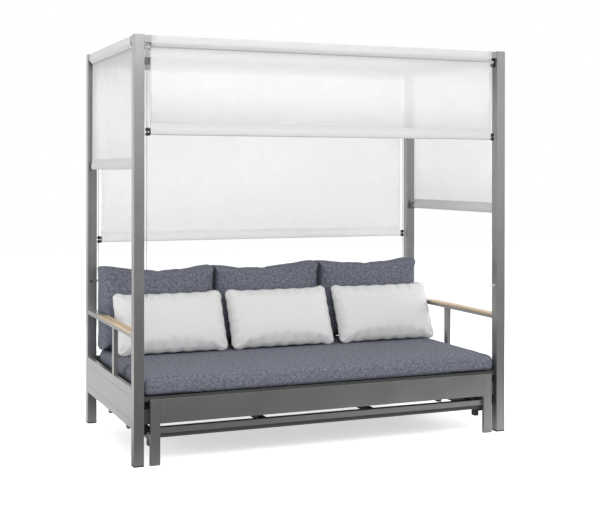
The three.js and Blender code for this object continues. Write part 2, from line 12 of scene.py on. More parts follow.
import bmesh
import bpy
import numpy as np
from mathutils import Matrix, Vector


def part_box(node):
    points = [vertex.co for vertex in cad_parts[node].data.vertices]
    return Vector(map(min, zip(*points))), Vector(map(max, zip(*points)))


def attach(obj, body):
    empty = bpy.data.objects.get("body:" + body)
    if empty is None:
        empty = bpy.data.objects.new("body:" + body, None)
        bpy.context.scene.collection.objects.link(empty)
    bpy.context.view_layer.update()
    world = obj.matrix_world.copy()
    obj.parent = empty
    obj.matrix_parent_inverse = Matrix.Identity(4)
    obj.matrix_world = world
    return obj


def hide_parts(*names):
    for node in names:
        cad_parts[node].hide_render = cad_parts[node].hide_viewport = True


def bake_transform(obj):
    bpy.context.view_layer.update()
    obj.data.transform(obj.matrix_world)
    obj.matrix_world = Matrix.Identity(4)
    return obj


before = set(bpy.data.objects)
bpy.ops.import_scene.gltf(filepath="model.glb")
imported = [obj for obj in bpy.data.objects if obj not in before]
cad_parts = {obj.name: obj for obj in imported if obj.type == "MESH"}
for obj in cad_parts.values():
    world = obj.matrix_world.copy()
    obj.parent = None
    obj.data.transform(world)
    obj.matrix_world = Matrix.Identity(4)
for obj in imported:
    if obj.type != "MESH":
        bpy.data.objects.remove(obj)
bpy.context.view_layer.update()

log = logging.getLogger("daybed")

Point = tuple[float, float, float]
Colour = tuple[float, float, float]
Stop = tuple[float, Colour]

MM = 0.001
PLAY = 0.3 * MM
PILLOW_HEIGHT = 364 * MM
PILLOW_DEPTH = 138 * MM
AXIS_TURNS = {
    "x": Matrix.Rotation(math.pi / 2, 4, "Y"),
    "y": Matrix.Rotation(-math.pi / 2, 4, "X"),
    "z": Matrix.Identity(4),
}


# Node trees


class NodeSheet:
    """A node tree that is filled by short calls."""

    def __init__(self, tree: bpy.types.NodeTree) -> None:
        """Keeps the tree that the calls fill."""
        self.tree = tree

    def add(self, kind: str, inputs: dict | None = None, **settings) -> bpy.types.Node:
        """Adds one node.

        Args:
            kind: The node's type, such as ShaderNodeTexNoise.
            inputs: Values or sockets for its inputs, by name or number.
            **settings: The node's own settings.

        Returns:
            The new node.
        """
        node = self.tree.nodes.new(kind)
        for name, value in settings.items():
            setattr(node, name, value)
        for name, value in (inputs or {}).items():
            if isinstance(value, bpy.types.NodeSocket):
                self.tree.links.new(value, node.inputs[name])
            else:
                node.inputs[name].default_value = value
        return node

    def maths(self, operation: str, first, second=0.0, third=0.0) -> bpy.types.NodeSocket:
        """Adds a Math node."""
        inputs = {0: first, 1: second, 2: third}
        return self.add("ShaderNodeMath", inputs, operation=operation).outputs[0]

    def vectors(self, operation: str, first, second=(0.0, 0.0, 0.0)) -> bpy.types.Node:
        """Adds a Vector Math node."""
        return self.add("ShaderNodeVectorMath", {0: first, 1: second}, operation=operation)

    def mixed(self, share, first, second) -> bpy.types.NodeSocket:
        """Mixes two numbers."""
        return self.add("ShaderNodeMix", {0: share, 2: first, 3: second}).outputs[0]

    def shaded(self, first, second) -> bpy.types.NodeSocket:
        """Multiplies two colours."""
        inputs = {0: 1.0, 6: first, 7: second}
        return self.add("ShaderNodeMix", inputs, data_type="RGBA", blend_type="MULTIPLY").outputs[2]

    def noise(self, vector, scale, detail: float, roughness=0.5, distortion=0.0) -> bpy.types.NodeSocket:
        """Adds a Noise Texture node.

        Args:
            vector: The socket that it reads places from.
            scale: Its scale, as a value or a socket.
            detail: How many finer layers it has.
            roughness: How strong the finer layers are.
            distortion: How far it is bent.

        Returns:
            The mask's socket.
        """
        inputs = {"Vector": vector, "Scale": scale, "Detail": detail}
        inputs |= {"Roughness": roughness, "Distortion": distortion}
        return self.add("ShaderNodeTexNoise", inputs).outputs["Fac"]

    def ramp(self, mask, stops: Sequence[Stop]) -> bpy.types.NodeSocket:
        """Turns a mask into a colour.

        Args:
            mask: The socket that carries the mask.
            stops: Places from 0 to 1, each with its colour.

        Returns:
            The colour socket.
        """
        node = self.add("ShaderNodeValToRGB", {"Fac": mask})
        elements = node.color_ramp.elements
        while len(elements) < len(stops):
            elements.new(0.5)
        for element, (place, colour) in zip(elements, stops):
            element.position = place
            element.color = (*colour, 1.0)
        return node.outputs["Color"]

    def between(self, mask, low: float, high: float) -> bpy.types.NodeSocket:
        """Maps a mask from 0 to 1 onto a span of values."""
        node = self.add("ShaderNodeMapRange", {"Value": mask, "To Min": low, "To Max": high})
        return node.outputs["Result"]


def empty_sheet(owner: bpy.types.Material | bpy.types.World) -> NodeSheet:
    """Empties the node tree of a material or a world."""
    owner.use_nodes = True
    owner.node_tree.nodes.clear()
    return NodeSheet(owner.node_tree)


def shader_group(
    name: str, numbers: dict[str, float], results: Sequence[str], fill: Callable
) -> bpy.types.NodeTree:
    """Finds or builds a shader group that reads a vector and some numbers.

    Args:
        name: The group's name.
        numbers: Its number inputs with their usual values.
        results: The names of its outputs.
        fill: Adds its nodes to a sheet, from the group's inputs, and returns a socket for each output.

    Returns:
        The group's tree.
    """
    if name in bpy.data.node_groups:
        return bpy.data.node_groups[name]
    tree = bpy.data.node_groups.new(name, "ShaderNodeTree")
    tree.interface.new_socket("Vector", in_out="INPUT", socket_type="NodeSocketVector")
    for label, value in numbers.items():
        socket = tree.interface.new_socket(label, in_out="INPUT", socket_type="NodeSocketFloat")
        socket.default_value = value
    for label in results:
        tree.interface.new_socket(label, in_out="OUTPUT", socket_type="NodeSocketFloat")
    sheet = NodeSheet(tree)
    source = sheet.add("NodeGroupInput")
    sheet.add("NodeGroupOutput", dict(zip(results, fill(sheet, source.outputs))))
    return tree


def skin_group() -> bpy.types.NodeTree:
    """A hard skin: a fine peel and slow patches of shade."""

    def fill(sheet: NodeSheet, source) -> tuple:
        """Shade is three parts patches and one part peel, and the height is the peel."""
        peel = sheet.noise(source["Vector"], source["Peel"], 1.0)
        patches = sheet.noise(source["Vector"], source["Patches"], 3.0, 0.6)
        fleck = sheet.maths("MULTIPLY", peel, 0.25)
        return sheet.maths("MULTIPLY_ADD", patches, 0.75, fleck), peel

    return shader_group("hard_skin", {"Peel": 900.0, "Patches": 5.0}, ("Shade", "Height"), fill)


def weave_group() -> bpy.types.NodeTree:
    """A plain weave in the plane of the vector's first two axes, of uneven yarns."""

    def fill(sheet: NodeSheet, source) -> tuple:
        """Crossing waves choose the yarn on top, and each yarn is a noise drawn out along it."""
        vector = source["Vector"]
        parts = sheet.add("ShaderNodeSeparateXYZ", {"Vector": vector})
        waves = []
        for axis in ("X", "Y"):
            turn = sheet.maths("MULTIPLY", parts.outputs[axis], source["Yarns"])
            waves.append(sheet.maths("SINE", sheet.maths("MULTIPLY", turn, math.pi)))
        crossing = sheet.maths("MULTIPLY", *waves)
        yarns = []
        for share in ((1.0, 18.0, 1.0), (18.0, 1.0, 1.0)):
            drawn = sheet.vectors("MULTIPLY", vector, share).outputs[0]
            yarns.append(sheet.noise(drawn, source["Slub"], 2.0, 0.7))
        yarn = sheet.mixed(sheet.maths("GREATER_THAN", crossing, 0.0), *yarns)
        height = sheet.between(crossing, 0.0, 1.0)
        return yarn, height, sheet.noise(vector, source["Clouds"], 4.0, 0.85)

    numbers = {"Yarns": 500.0, "Slub": 30.0, "Clouds": 40.0}
    return shader_group("plain_weave", numbers, ("Yarn", "Height", "Cloud"), fill)


def grain_group() -> bpy.types.NodeTree:
    """Straight grain along Y: broad bands with fine lines, and open pores."""

    def fill(sheet: NodeSheet, source) -> tuple:
        """Both masks are noises drawn out along Y."""
        broad = sheet.vectors("MULTIPLY", source["Vector"], (1.0, 0.06, 1.0)).outputs[0]
        fine = sheet.vectors("MULTIPLY", source["Vector"], (40.0, 1.2, 40.0)).outputs[0]
        bands = sheet.noise(broad, source["Bands"], 5.0, 0.62, 0.4)
        return bands, sheet.noise(fine, source["Bands"], 2.0)

    return shader_group("straight_grain", {"Bands": 22.0}, ("Grain", "Pores"), fill)


# Finishes


class Finish:
    """A finish that is built into a material once and then shared."""

    name: str

    def material(self) -> bpy.types.Material:
        """The finish as a material."""
        found = bpy.data.materials.get(self.name)
        if found is not None:
            return found
        made = bpy.data.materials.new(self.name)
        sheet = empty_sheet(made)
        shader = sheet.add("ShaderNodeBsdfPrincipled", self.inputs(sheet))
        sheet.add("ShaderNodeOutputMaterial", {"Surface": shader.outputs["BSDF"]})
        return made

    def inputs(self, sheet: NodeSheet) -> dict:
        """Adds the finish's own nodes and returns the shader's inputs."""
        raise NotImplementedError

    def use(self, sheet: NodeSheet, group: bpy.types.NodeTree, vector, **numbers: float):
        """Places a shared group.

        Args:
            sheet: The material's tree.
            group: The group.
            vector: The socket that it reads places from.
            **numbers: Its other inputs.

        Returns:
            The group's outputs.
        """
        return sheet.add("ShaderNodeGroup", {"Vector": vector, **numbers}, node_tree=group).outputs

    def relief(self, sheet: NodeSheet, height, depth: float) -> bpy.types.NodeSocket:
        """Turns a height from 0 to 1 into a normal, with its depth in metres."""
        inputs = {"Height": height, "Distance": depth, "Strength": 1.0}
        return sheet.add("ShaderNodeBump", inputs).outputs["Normal"]


@dataclass(frozen=True)
class PowderCoat(Finish):
    """Satin powder coat. Slow patches change its shade and gloss, and a fine peel breaks the shine.

    Attributes:
        name: The material's name.
        colour: Its colour.
        roughness: Its middle roughness.
        metallic: Its share of metal.
        shades: The darkest and the palest share of the colour.
        swing: How far the roughness goes up and down.
        peel: The scale of the relief.
        patches: The scale of the patches.
        depth: The depth of the relief.
    """

    name: str
    colour: Colour
    roughness: float = 0.4
    metallic: float = 0.0
    shades: tuple[float, float] = (0.94, 1.06)
    swing: float = 0.05
    peel: float = 900.0
    patches: float = 5.0
    depth: float = 0.02 * MM

    def inputs(self, sheet: NodeSheet) -> dict:
        """The shade, the gloss and the relief of the skin."""
        place = sheet.add("ShaderNodeTexCoord").outputs["Object"]
        skin = self.use(sheet, skin_group(), place, Peel=self.peel, Patches=self.patches)
        low, high = (tuple(value * share for value in self.colour) for share in self.shades)
        return {
            "Base Color": sheet.ramp(skin["Shade"], ((0.3, low), (0.7, high))),
            "Roughness": sheet.between(
                skin["Shade"], self.roughness - self.swing, self.roughness + self.swing
            ),
            "Metallic": self.metallic,
            "Normal": self.relief(sheet, skin["Height"], self.depth),
        }


@dataclass(frozen=True)
class MouldedPlastic(PowderCoat):
    """Moulded plastic with a dense, fine skin and a faint change of shade."""

    roughness: float = 0.5
    shades: tuple[float, float] = (0.85, 1.15)
    swing: float = 0.08
    peel: float = 2600.0
    patches: float = 40.0
    depth: float = 0.03 * MM


@dataclass(frozen=True)
class BareMetal(PowderCoat):
    """Drawn or turned metal without paint."""

    roughness: float = 0.3
    metallic: float = 1.0
    shades: tuple[float, float] = (0.9, 1.0)
    swing: float = 0.08
    peel: float = 1500.0
    patches: float = 60.0
    depth: float = 0.01 * MM


@dataclass(frozen=True)
class Teak(Finish):
    """Oiled teak with its grain along the board."""

    name: str
    pale: Colour
    dark: Colour

    def inputs(self, sheet: NodeSheet) -> dict:
        """Bands of two browns, dark pores and a low sheen."""
        place = sheet.add("ShaderNodeTexCoord").outputs["Object"]
        wood = self.use(sheet, grain_group(), place)
        middle = tuple((a + b) / 2 for a, b in zip(self.pale, self.dark))
        bands = sheet.ramp(wood["Grain"], ((0.32, self.dark), (0.48, middle), (0.56, self.pale)))
        pores = sheet.ramp(wood["Pores"], ((0.28, (0.55, 0.5, 0.42)), (0.42, (1.0, 1.0, 1.0))))
        return {
            "Base Color": sheet.shaded(bands, pores),
            "Roughness": sheet.between(wood["Grain"], 0.62, 0.45),
            "Normal": self.relief(sheet, wood["Pores"], 0.12 * MM),
        }


@dataclass(frozen=True)
class Upholstery(Finish):
    """Woven cover cloth. Its pattern lies on the cover's own UV map, in metres."""

    name: str
    dark: Colour
    middle: Colour
    pale: Colour
    yarns: float = 420.0
    slub: float = 70.0
    clouds: float = 60.0
    cloudy: float = 0.5
    depth: float = 0.35 * MM
    sheen: float = 0.03

    def inputs(self, sheet: NodeSheet) -> dict:
        """Three yarn colours, a cloudy change of shade and the relief of the weave."""
        place = sheet.add("ShaderNodeUVMap", uv_map="cloth").outputs["UV"]
        numbers = {"Yarns": self.yarns, "Slub": self.slub, "Clouds": self.clouds}
        cloth = self.use(sheet, weave_group(), place, **numbers)
        yarn = sheet.ramp(cloth["Yarn"], ((0.36, self.dark), (0.5, self.middle), (0.64, self.pale)))
        dim, bright = (1 - self.cloudy,) * 3, (1 + self.cloudy / 2,) * 3
        return {
            "Base Color": sheet.shaded(yarn, sheet.ramp(cloth["Cloud"], ((0.37, dim), (0.63, bright)))),
            "Roughness": sheet.between(cloth["Yarn"], 0.98, 0.86),
            "Sheen Weight": self.sheen,
            "Sheen Roughness": 0.5,
            "Specular IOR Level": 0.25,
            "Normal": self.relief(sheet, cloth["Height"], self.depth),
        }


@dataclass(frozen=True)
class SunCloth(Finish):
    """Thin open-woven cloth that lets some light through.

    Attributes:
        name: The material's name.
        colour: Its palest colour.
        cover: How much of what is behind it hides.
        glow: How much light it scatters inside.
        reach: How far that light goes.
    """

    name: str
    colour: Colour
    cover: float = 1.0
    glow: float = 0.0
    reach: float = 1.5 * MM

    def inputs(self, sheet: NodeSheet) -> dict:
        """A fine weave, a share of see-through that follows its yarns, and soft clouds."""
        place = sheet.add("ShaderNodeUVMap", uv_map="cloth").outputs["UV"]
        cloth = self.use(sheet, weave_group(), place, Yarns=900.0, Slub=12.0, Clouds=9.0)
        low = tuple(value * 0.988 for value in self.colour)
        inputs = {
            "Base Color": sheet.ramp(cloth["Cloud"], ((0.35, low), (0.65, self.colour))),
            "Roughness": sheet.between(cloth["Yarn"], 0.95, 0.85),
            "Specular IOR Level": 0.2,
            "Subsurface Weight": self.glow,
            "Subsurface Radius": (1.0, 1.0, 1.0),
            "Subsurface Scale": self.reach,
            "Normal": self.relief(sheet, cloth["Height"], 0.08 * MM),
        }
        if self.cover < 1:
            inputs["Alpha"] = sheet.between(cloth["Yarn"], self.cover - 0.05, self.cover + 0.05)
        return inputs


class Look(Enum):
    """Every finish on the daybed."""

    FRAME = PowderCoat("frame_powder_coat", (0.33, 0.33, 0.327), 0.32, 0.85)
    INNER = PowderCoat("inner_powder_coat", (0.05, 0.05, 0.05))
    FOOT = MouldedPlastic("foot_plastic_black", (0.02, 0.02, 0.022))
    FITTING = MouldedPlastic("fitting_plastic_black", (0.018, 0.018, 0.019), 0.6)
    PALE_FITTING = MouldedPlastic("fitting_plastic_pale", (0.72, 0.72, 0.7), 0.4)
    WIRE = BareMetal("guide_wire_steel", (0.3, 0.3, 0.31), 0.35)
    SCREW = BareMetal("screw_steel", (0.5, 0.5, 0.5))
    BLIND = SunCloth("blind_cloth_white", (0.8, 0.8, 0.795), 0.57, 1.0)
    # The next two are the same white blind cloth, painted paler and made more see-through: painted light
    # for the shaded inner faces of the back and right blinds.
    BLIND_BACK_PAINTED_LIGHT = SunCloth("blind_cloth_back_painted_light", (0.9, 0.9, 0.895), 0.42, 1.0, 5 * MM)
    BLIND_RIGHT_PAINTED_LIGHT = SunCloth("blind_cloth_right_painted_light", (0.9, 0.9, 0.895), 0.65, 1.0, 5 * MM)
    ROOF = SunCloth("roof_cloth_white", (0.8, 0.8, 0.795), 0.66, 1.0)
    # The hems are one white cloth in two colours: the darker one is painted shade, on every hem but the
    # back one; the paler one is painted light, for the back hem's shaded inner face.
    HEM = SunCloth("hem_cloth_painted_shade", (0.57, 0.57, 0.565))
    HEM_BACK_PAINTED_LIGHT = SunCloth("hem_cloth_back_painted_light", (0.92, 0.92, 0.915))
    ROLL = SunCloth("rolled_cloth_white", (0.7, 0.7, 0.695))
    TEAK = Teak("oiled_teak", (0.6, 0.475, 0.315), (0.42, 0.31, 0.185))
    BLUE = Upholstery(
        "cover_blue_melange", (0.075, 0.082, 0.105), (0.15, 0.16, 0.2), (0.25, 0.262, 0.315)
    )
    PALE = Upholstery(
        "cover_pale_plain",
        (0.6, 0.6, 0.595),
        (0.64, 0.64, 0.635),
        (0.68, 0.68, 0.675),
        slub=40.0,
        cloudy=0.03,
        depth=0.12 * MM,
        sheen=0.02,
    )
    THREAD_PALE = MouldedPlastic("thread_pale", (0.6, 0.6, 0.59), 0.8)

    @property
    def material(self) -> bpy.types.Material:
        """The finish's material."""
        return self.value.material()


# Meshes


def link(name: str, data: bpy.types.ID) -> bpy.types.Object:
    """Makes an object of a mesh, a lamp or a camera and puts it in the scene."""
    made = bpy.data.objects.new(name, data)
    bpy.context.scene.collection.objects.link(made)
    return made


def shade(mesh: bpy.types.Mesh, smooth: float | None) -> None:
    """Shades a mesh smooth up to an angle in degrees."""
    if smooth is not None:
        mesh.shade_smooth()
        mesh.set_sharp_from_angle(angle=math.radians(smooth))


def new_object(
    name: str,
    points: Sequence,
    faces: Sequence,
    look: Look,
    smooth: float | None = 35.0,
    edges: Sequence = (),
) -> bpy.types.Object:
    """Makes an object from points and faces.

    Args:
        name: The object's name.
        points: Its points, in metres.
        faces: Each face's point numbers.
        look: Its finish.
        smooth: The widest angle, in degrees, that is shaded smooth, or None.
        edges: Loose edges' point numbers.

    Returns:
        The object, at the origin.
    """
    mesh = bpy.data.meshes.new(name)
    mesh.from_pydata([tuple(point) for point in points], edges, [tuple(face) for face in faces])
    mesh.materials.append(look.material)
    mesh.update()
    shade(mesh, smooth)
    return link(name, mesh)


def belong(piece: bpy.types.Object, slot: str, body: str, *nodes: str) -> None:
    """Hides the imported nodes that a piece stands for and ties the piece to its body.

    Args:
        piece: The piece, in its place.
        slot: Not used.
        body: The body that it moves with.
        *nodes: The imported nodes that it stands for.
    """
    if nodes:
        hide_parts(*nodes)
    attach(piece, body)
    log.info("made %s", piece.name)


def thicken(cloth: bpy.types.Object, thickness: float) -> None:
    """Gives a sheet of cloth its thickness, half to each side."""
    solid = cloth.modifiers.new("thickness", "SOLIDIFY")
    solid.thickness = thickness
    solid.offset = 0.0


def add_uv(mesh: bpy.types.Mesh, corners: Sequence) -> None:
    """Gives a mesh its cloth map, from a row of two metres for each face corner."""
    layer = mesh.uv_layers.new(name="cloth")
    layer.data.foreach_set("uv", np.asarray(corners, np.float32).ravel())


def grid_faces(rows: int, columns: int, closed: bool = False) -> list[tuple[int, ...]]:
    """The faces between rows of points that are numbered row by row.

    Args:
        rows: How many rows there are.
        columns: The points in a row.
        closed: True if each row's last point meets its first.

    Returns:
        Each face's point numbers, from a point to the next row's first.
    """
    faces = []
    for first in range(0, (rows - 1) * columns, columns):
        second = first + columns
        for here in range(columns if closed else columns - 1):
            after = (here + 1) % columns
            faces.append((first + here, second + here, second + after, first + after))
    return faces


def rounded_outline(
    points: Sequence[tuple[float, float]], radius: float, steps: int = 3
) -> list[tuple[float, float]]:
    """Rounds the corners of a closed outline.

    Args:
        points: Its corners.
        radius: The radius, cut down where an edge is short.
        steps: The faces across each corner.

    Returns:
        The rounded outline.
    """
    rounded: list[tuple[float, float]] = []
    for index, point in enumerate(points):
        here = np.array(point)
        before = np.array(points[index - 1]) - here
        after = np.array(points[(index + 1) % len(points)]) - here
        reach = min(radius, 0.45 * np.linalg.norm(before), 0.45 * np.linalg.norm(after))
        start = here + before / np.linalg.norm(before) * reach
        end = here + after / np.linalg.norm(after) * reach
        for t in (step / steps for step in range(steps + 1)):
            place = (1 - t) ** 2 * start + 2 * t * (1 - t) * here + t**2 * end
            rounded.append((float(place[0]), float(place[1])))
    return rounded


class Draft:
    """A mesh in the making, of blocks, tubes, rods, rings and turned forms."""

    def __init__(self) -> None:
        """Starts with nothing."""
        self.mesh = bmesh.new()

    def block(self, low: Sequence, high: Sequence, radius: float, segments: int = 2) -> None:
        """Adds a box with rounded edges.

        Args:
            low: One corner.
            high: The opposite corner.
            radius: The radius of its edges.
            segments: The faces across each edge.
        """
        first, last = np.minimum(low, high), np.maximum(low, high)
        size = last - first
        place = Matrix.Translation(Vector((first + last) / 2)) @ Matrix.Diagonal((*size, 1.0))
        made = bmesh.ops.create_cube(self.mesh, size=1.0, matrix=place)
        edges = {edge for vertex in made["verts"] for edge in vertex.link_edges}
        bmesh.ops.bevel(
            self.mesh,
            geom=list(edges),
            offset=min(radius, float(size.min()) * 0.49),
            segments=segments,
            profile=0.5,
            affect="EDGES",
        )

    def tube(self, low: Sequence, high: Sequence, axis: int, wall: float) -> None:
        """Adds a box tube with open ends, as four walls with eased edges.

        Args:
            low: Its lowest corner.
            high: Its highest corner.
            axis: The axis that it runs along, by number.
            wall: The thickness of its walls.
        """
        for side in (place for place in range(3) if place != axis):
            inner_low, inner_high = list(low), list(high)
            inner_low[side] = high[side] - wall
            inner_high[side] = low[side] + wall
            self.block(low, inner_high, 0.6 * MM, 1)
            self.block(inner_low, high, 0.6 * MM, 1)

    def turned(
        self, profile: Sequence, centre: Point, axis: str, steps: int = 32, closed: bool = False
    ) -> None:
        """Adds a turned form.

        Args:
            profile: Radii, each with its place along the axis, from end to end.
            centre: The point on the axis that places are measured from.
            axis: The axis, x, y or z.
            steps: The faces round it.
            closed: True if the profile's last place meets its first.
        """
        place = Matrix.Translation(Vector(centre)) @ AXIS_TURNS[axis]
        turns = [math.tau * step / steps for step in range(steps)]
        rings = []
        for radius, along in profile:
            spots = [(radius * math.cos(turn), radius * math.sin(turn), along) for turn in turns]
            spots = spots if radius > 0 else [(0, 0, along)]
            rings.append([self.mesh.verts.new(place @ Vector(spot)) for spot in spots])
        following = rings[1:] + rings[:1] if closed else rings[1:]
        for ring, second in zip(rings, following):
            for step in range(steps):
                after = (step + 1) % steps
                corners = [
                    ring[step % len(ring)],
                    ring[after % len(ring)],
                    second[after % len(second)],
                    second[step % len(second)],
                ]
                self.mesh.faces.new(list(dict.fromkeys(corners)))

    def ring(self, centre: Point, axis: str, radius: float, wire: float, steps: int, sides: int) -> None:
        """Adds a ring of round wire.

        Args:
            centre: Its middle.
            axis: The axis that it lies round.
            radius: The radius of the wire's middle line.
            wire: The radius of the wire.
            steps: The faces round the axis.
            sides: The faces round the wire.
        """
        rolls = [math.tau * side / sides for side in range(sides)]
        profile = [(radius + wire * math.cos(roll), wire * math.sin(roll)) for roll in rolls]
        self.turned(profile, centre, axis, steps, closed=True)

    def rod(self, start: Point, end: Point, radius: float, sides: int) -> None:
        """Adds a straight round rod with flat ends between two points."""
        a, b = Vector(start), Vector(end)
        turn = (b - a).to_track_quat("Z", "Y").to_matrix().to_4x4()
        bmesh.ops.create_cone(
            self.mesh,
            cap_ends=True,
            segments=sides,
            radius1=radius,
            radius2=radius,
            depth=(b - a).length,
            matrix=Matrix.Translation((a + b) / 2) @ turn,
        )

    def finished(self, name: str, look: Look, smooth: float = 35.0) -> bpy.types.Object:
        """Turns the draft into an object.

        Args:
            name: The object's name.
            look: Its finish.
            smooth: The widest angle that is shaded smooth, in degrees.

        Returns:
            The object.
        """
        bmesh.ops.recalc_face_normals(self.mesh, faces=self.mesh.faces[:])
        mesh = bpy.data.meshes.new(name)
        self.mesh.to_mesh(mesh)
        self.mesh.free()
        mesh.materials.append(look.material)
        shade(mesh, smooth)
        return link(name, mesh)


# Geometry Nodes


class CopyTree:
    """A Geometry Nodes tree that sets out copies of a piece, run with named inputs.

    Attributes:
        name: The tree's name.
        kinds: Its own inputs by label, each with its socket type.
    """

    name: str
    kinds: dict[str, str]

    def __init__(self) -> None:
        """Builds the tree."""
        self.tree = bpy.data.node_groups.new(self.name, "GeometryNodeTree")
        face = self.tree.interface
        face.new_socket("Geometry", in_out="INPUT", socket_type="NodeSocketGeometry")
        self.sockets = {
            label: face.new_socket(label, in_out="INPUT", socket_type=f"NodeSocket{kind}").identifier
            for label, kind in (*self.kinds.items(), ("Coat", "Material"))
        }
        face.new_socket("Geometry", in_out="OUTPUT", socket_type="NodeSocketGeometry")
        sheet = NodeSheet(self.tree)
        source = sheet.add("NodeGroupInput").outputs
        copies = sheet.add("GeometryNodeInstanceOnPoints", self.copies(sheet, source))
        real = sheet.add("GeometryNodeRealizeInstances", {"Geometry": copies.outputs["Instances"]})
        inputs = {"Geometry": real.outputs["Geometry"], "Material": source["Coat"]}
        coat = sheet.add("GeometryNodeSetMaterial", inputs)
        sheet.add("NodeGroupOutput", {"Geometry": coat.outputs["Geometry"]})

    def copies(self, sheet: NodeSheet, source) -> dict:
        """Adds the tree's own nodes and returns the inputs of its Instance on Points node."""
        raise NotImplementedError

    def run(self, piece: bpy.types.Object, look: Look, values: dict) -> None:
        """Runs the tree on a piece and keeps its result as a plain mesh.

        Args:
            piece: The piece.
            look: The copies' finish.
            values: The tree's own inputs by label.
        """
        modifier = piece.modifiers.new(self.name, "NODES")
        modifier.node_group = self.tree
        for label, value in {**values, "Coat": look.material}.items():
            modifier[self.sockets[label]] = value
        graph = bpy.context.evaluated_depsgraph_get()
        graph.update()
        made = bpy.data.meshes.new_from_object(
            piece.evaluated_get(graph), preserve_all_data_layers=True, depsgraph=graph
        )
        piece.modifiers.clear()
        piece.data = made
        shade(made, 35.0)


class Row(CopyTree):
    """Sets copies of a piece in a straight row."""

    name = "row_of_pieces"
    kinds = {"Count": "Int", "Start": "Vector", "Step": "Vector"}

    def copies(self, sheet: NodeSheet, source) -> dict:
        """The piece itself stands on each point of a line."""
        inputs = {"Count": source["Count"], "Start Location": source["Start"], "Offset": source["Step"]}
        line = sheet.add("GeometryNodeMeshLine", inputs)
        return {"Points": line.outputs["Mesh"], "Instance": source["Geometry"]}

    def lay(self, piece: bpy.types.Object, count: int, start: Point, step: Point, look: Look) -> None:
        """Turns a piece into a row of it.

        Args:
            piece: The piece, at the origin.
            count: How many there are.
            start: The place of the first.
            step: The step from each to the next.
            look: Their finish.
        """
        self.run(piece, look, {"Count": count, "Start": start, "Step": step})


class Scatter(CopyTree):
    """Sets copies of a piece on points, each facing its own way."""

    name = "pieces_on_points"
    kinds = {"Piece": "Object"}

    def copies(self, sheet: NodeSheet, source) -> dict:
        """Each copy's Z axis follows its point's own facing."""
        facing = sheet.add(
            "GeometryNodeInputNamedAttribute", {"Name": "facing"}, data_type="FLOAT_VECTOR"
        )
        inputs = {"Vector": facing.outputs["Attribute"]}
        turn = sheet.add("FunctionNodeAlignRotationToVector", inputs, axis="Z")
        piece = sheet.add("GeometryNodeObjectInfo", {"Object": source["Piece"]})
        return {
            "Points": source["Geometry"],
            "Instance": piece.outputs["Geometry"],
            "Rotation": turn.outputs["Rotation"],
        }

    def set_out(
        self, name: str, spots: Sequence[tuple[Point, Point]], piece: bpy.types.Object, look: Look
    ) -> bpy.types.Object:
        """Sets copies of a piece on points.

        Args:
            name: The new object's name.
            spots: Where they go, each with the way that its Z axis points.
            piece: The piece to copy.
            look: Their finish.

        Returns:
            The copies as one mesh.
        """
        made = new_object(name, [place for place, _ in spots], [], look, None)
        attribute = made.data.attributes.new("facing", "FLOAT_VECTOR", "POINT")
        facings = np.array([facing for _, facing in spots], np.float32)
        attribute.data.foreach_set("vector", facings.ravel())
        self.run(made, look, {"Piece": piece})
        return made


class Seam(CopyTree):
    """Sews stitches along a path of edges."""

    name = "stitches_on_path"
    kinds = {"Stitch": "Object", "Pitch": "Float"}

    def copies(self, sheet: NodeSheet, source) -> dict:
        """A stitch lies along the path at each even step of it."""
        curve = sheet.add("GeometryNodeMeshToCurve", {"Mesh": source["Geometry"]})
        inputs = {"Curve": curve.outputs["Curve"], "Length": source["Pitch"]}
        even = sheet.add("GeometryNodeResampleCurve", inputs, mode="LENGTH")
        inputs = {"Vector": sheet.add("GeometryNodeInputTangent").outputs["Tangent"]}
        turn = sheet.add("FunctionNodeAlignRotationToVector", inputs, axis="X")
        stitch = sheet.add("GeometryNodeObjectInfo", {"Object": source["Stitch"]})
        return {
            "Points": even.outputs["Curve"],
            "Instance": stitch.outputs["Geometry"],
            "Rotation": turn.outputs["Rotation"],
        }

    def sew(
        self, name: str, path: Sequence[Point], pitch: float, stitch: bpy.types.Object, look: Look
    ) -> bpy.types.Object:
        """Sews along a path.

        Args:
            name: The new object's name.
            path: The path's points.
            pitch: The length from stitch to stitch.
            stitch: One stitch, lying along X.
            look: The thread's finish.

        Returns:
            The stitches as one mesh.
        """
        edges = [(step, step + 1) for step in range(len(path) - 1)]
        made = new_object(name, path, [], look, None, edges)
        self.run(made, look, {"Stitch": stitch, "Pitch": pitch})
        return made


# Studio and camera


@dataclass
class Viewpoint:
    """The camera's place and lens, worked out from the corners of the posts."""

    place: Point = (-2.4176, -5.9489, 1.4313)
    yaw: float = 0.393
    pitch: float = -0.0002
    roll: float = 0.0015
    focal_px: float = 1140.52
    image: tuple[int, int] = (600, 514)
    level_row: float = 172.26
    sensor: float = 36.0

    def build(self) -> None:
        """Makes the camera and makes it the scene's."""
        width, height = self.image
        data = bpy.data.cameras.new("photo_camera")
        data.sensor_fit = "HORIZONTAL"
        data.sensor_width = self.sensor
        data.lens = self.focal_px * self.sensor / width
        data.shift_y = (self.level_row - height / 2) / width
        data.clip_end = 60.0
        data.dof.use_dof = False
        camera = link("photo_camera", data)
        turn = (
            Matrix.Rotation(-self.yaw, 4, "Z")
            @ Matrix.Rotation(math.pi / 2 + self.pitch, 4, "X")
            @ Matrix.Rotation(self.roll, 4, "Z")
        )
        camera.matrix_world = Matrix.Translation(self.place) @ turn
        bpy.context.scene.camera = camera


@dataclass(frozen=True)
class Slope:
    """A level that changes evenly from place to place, between two limits."""

    middle: float
    change: Point
    low: float
    high: float

    def level(self, sheet: NodeSheet, place) -> bpy.types.NodeSocket:
        """Adds the level's nodes, from the socket of the place or way."""
        rise = sheet.vectors("DOT_PRODUCT", place, self.change).outputs["Value"]
        level = sheet.maths("ADD", rise, self.middle)
        inputs = {"Value": level, "Min": self.low, "Max": self.high}
        return sheet.add("ShaderNodeClamp", inputs).outputs["Result"]


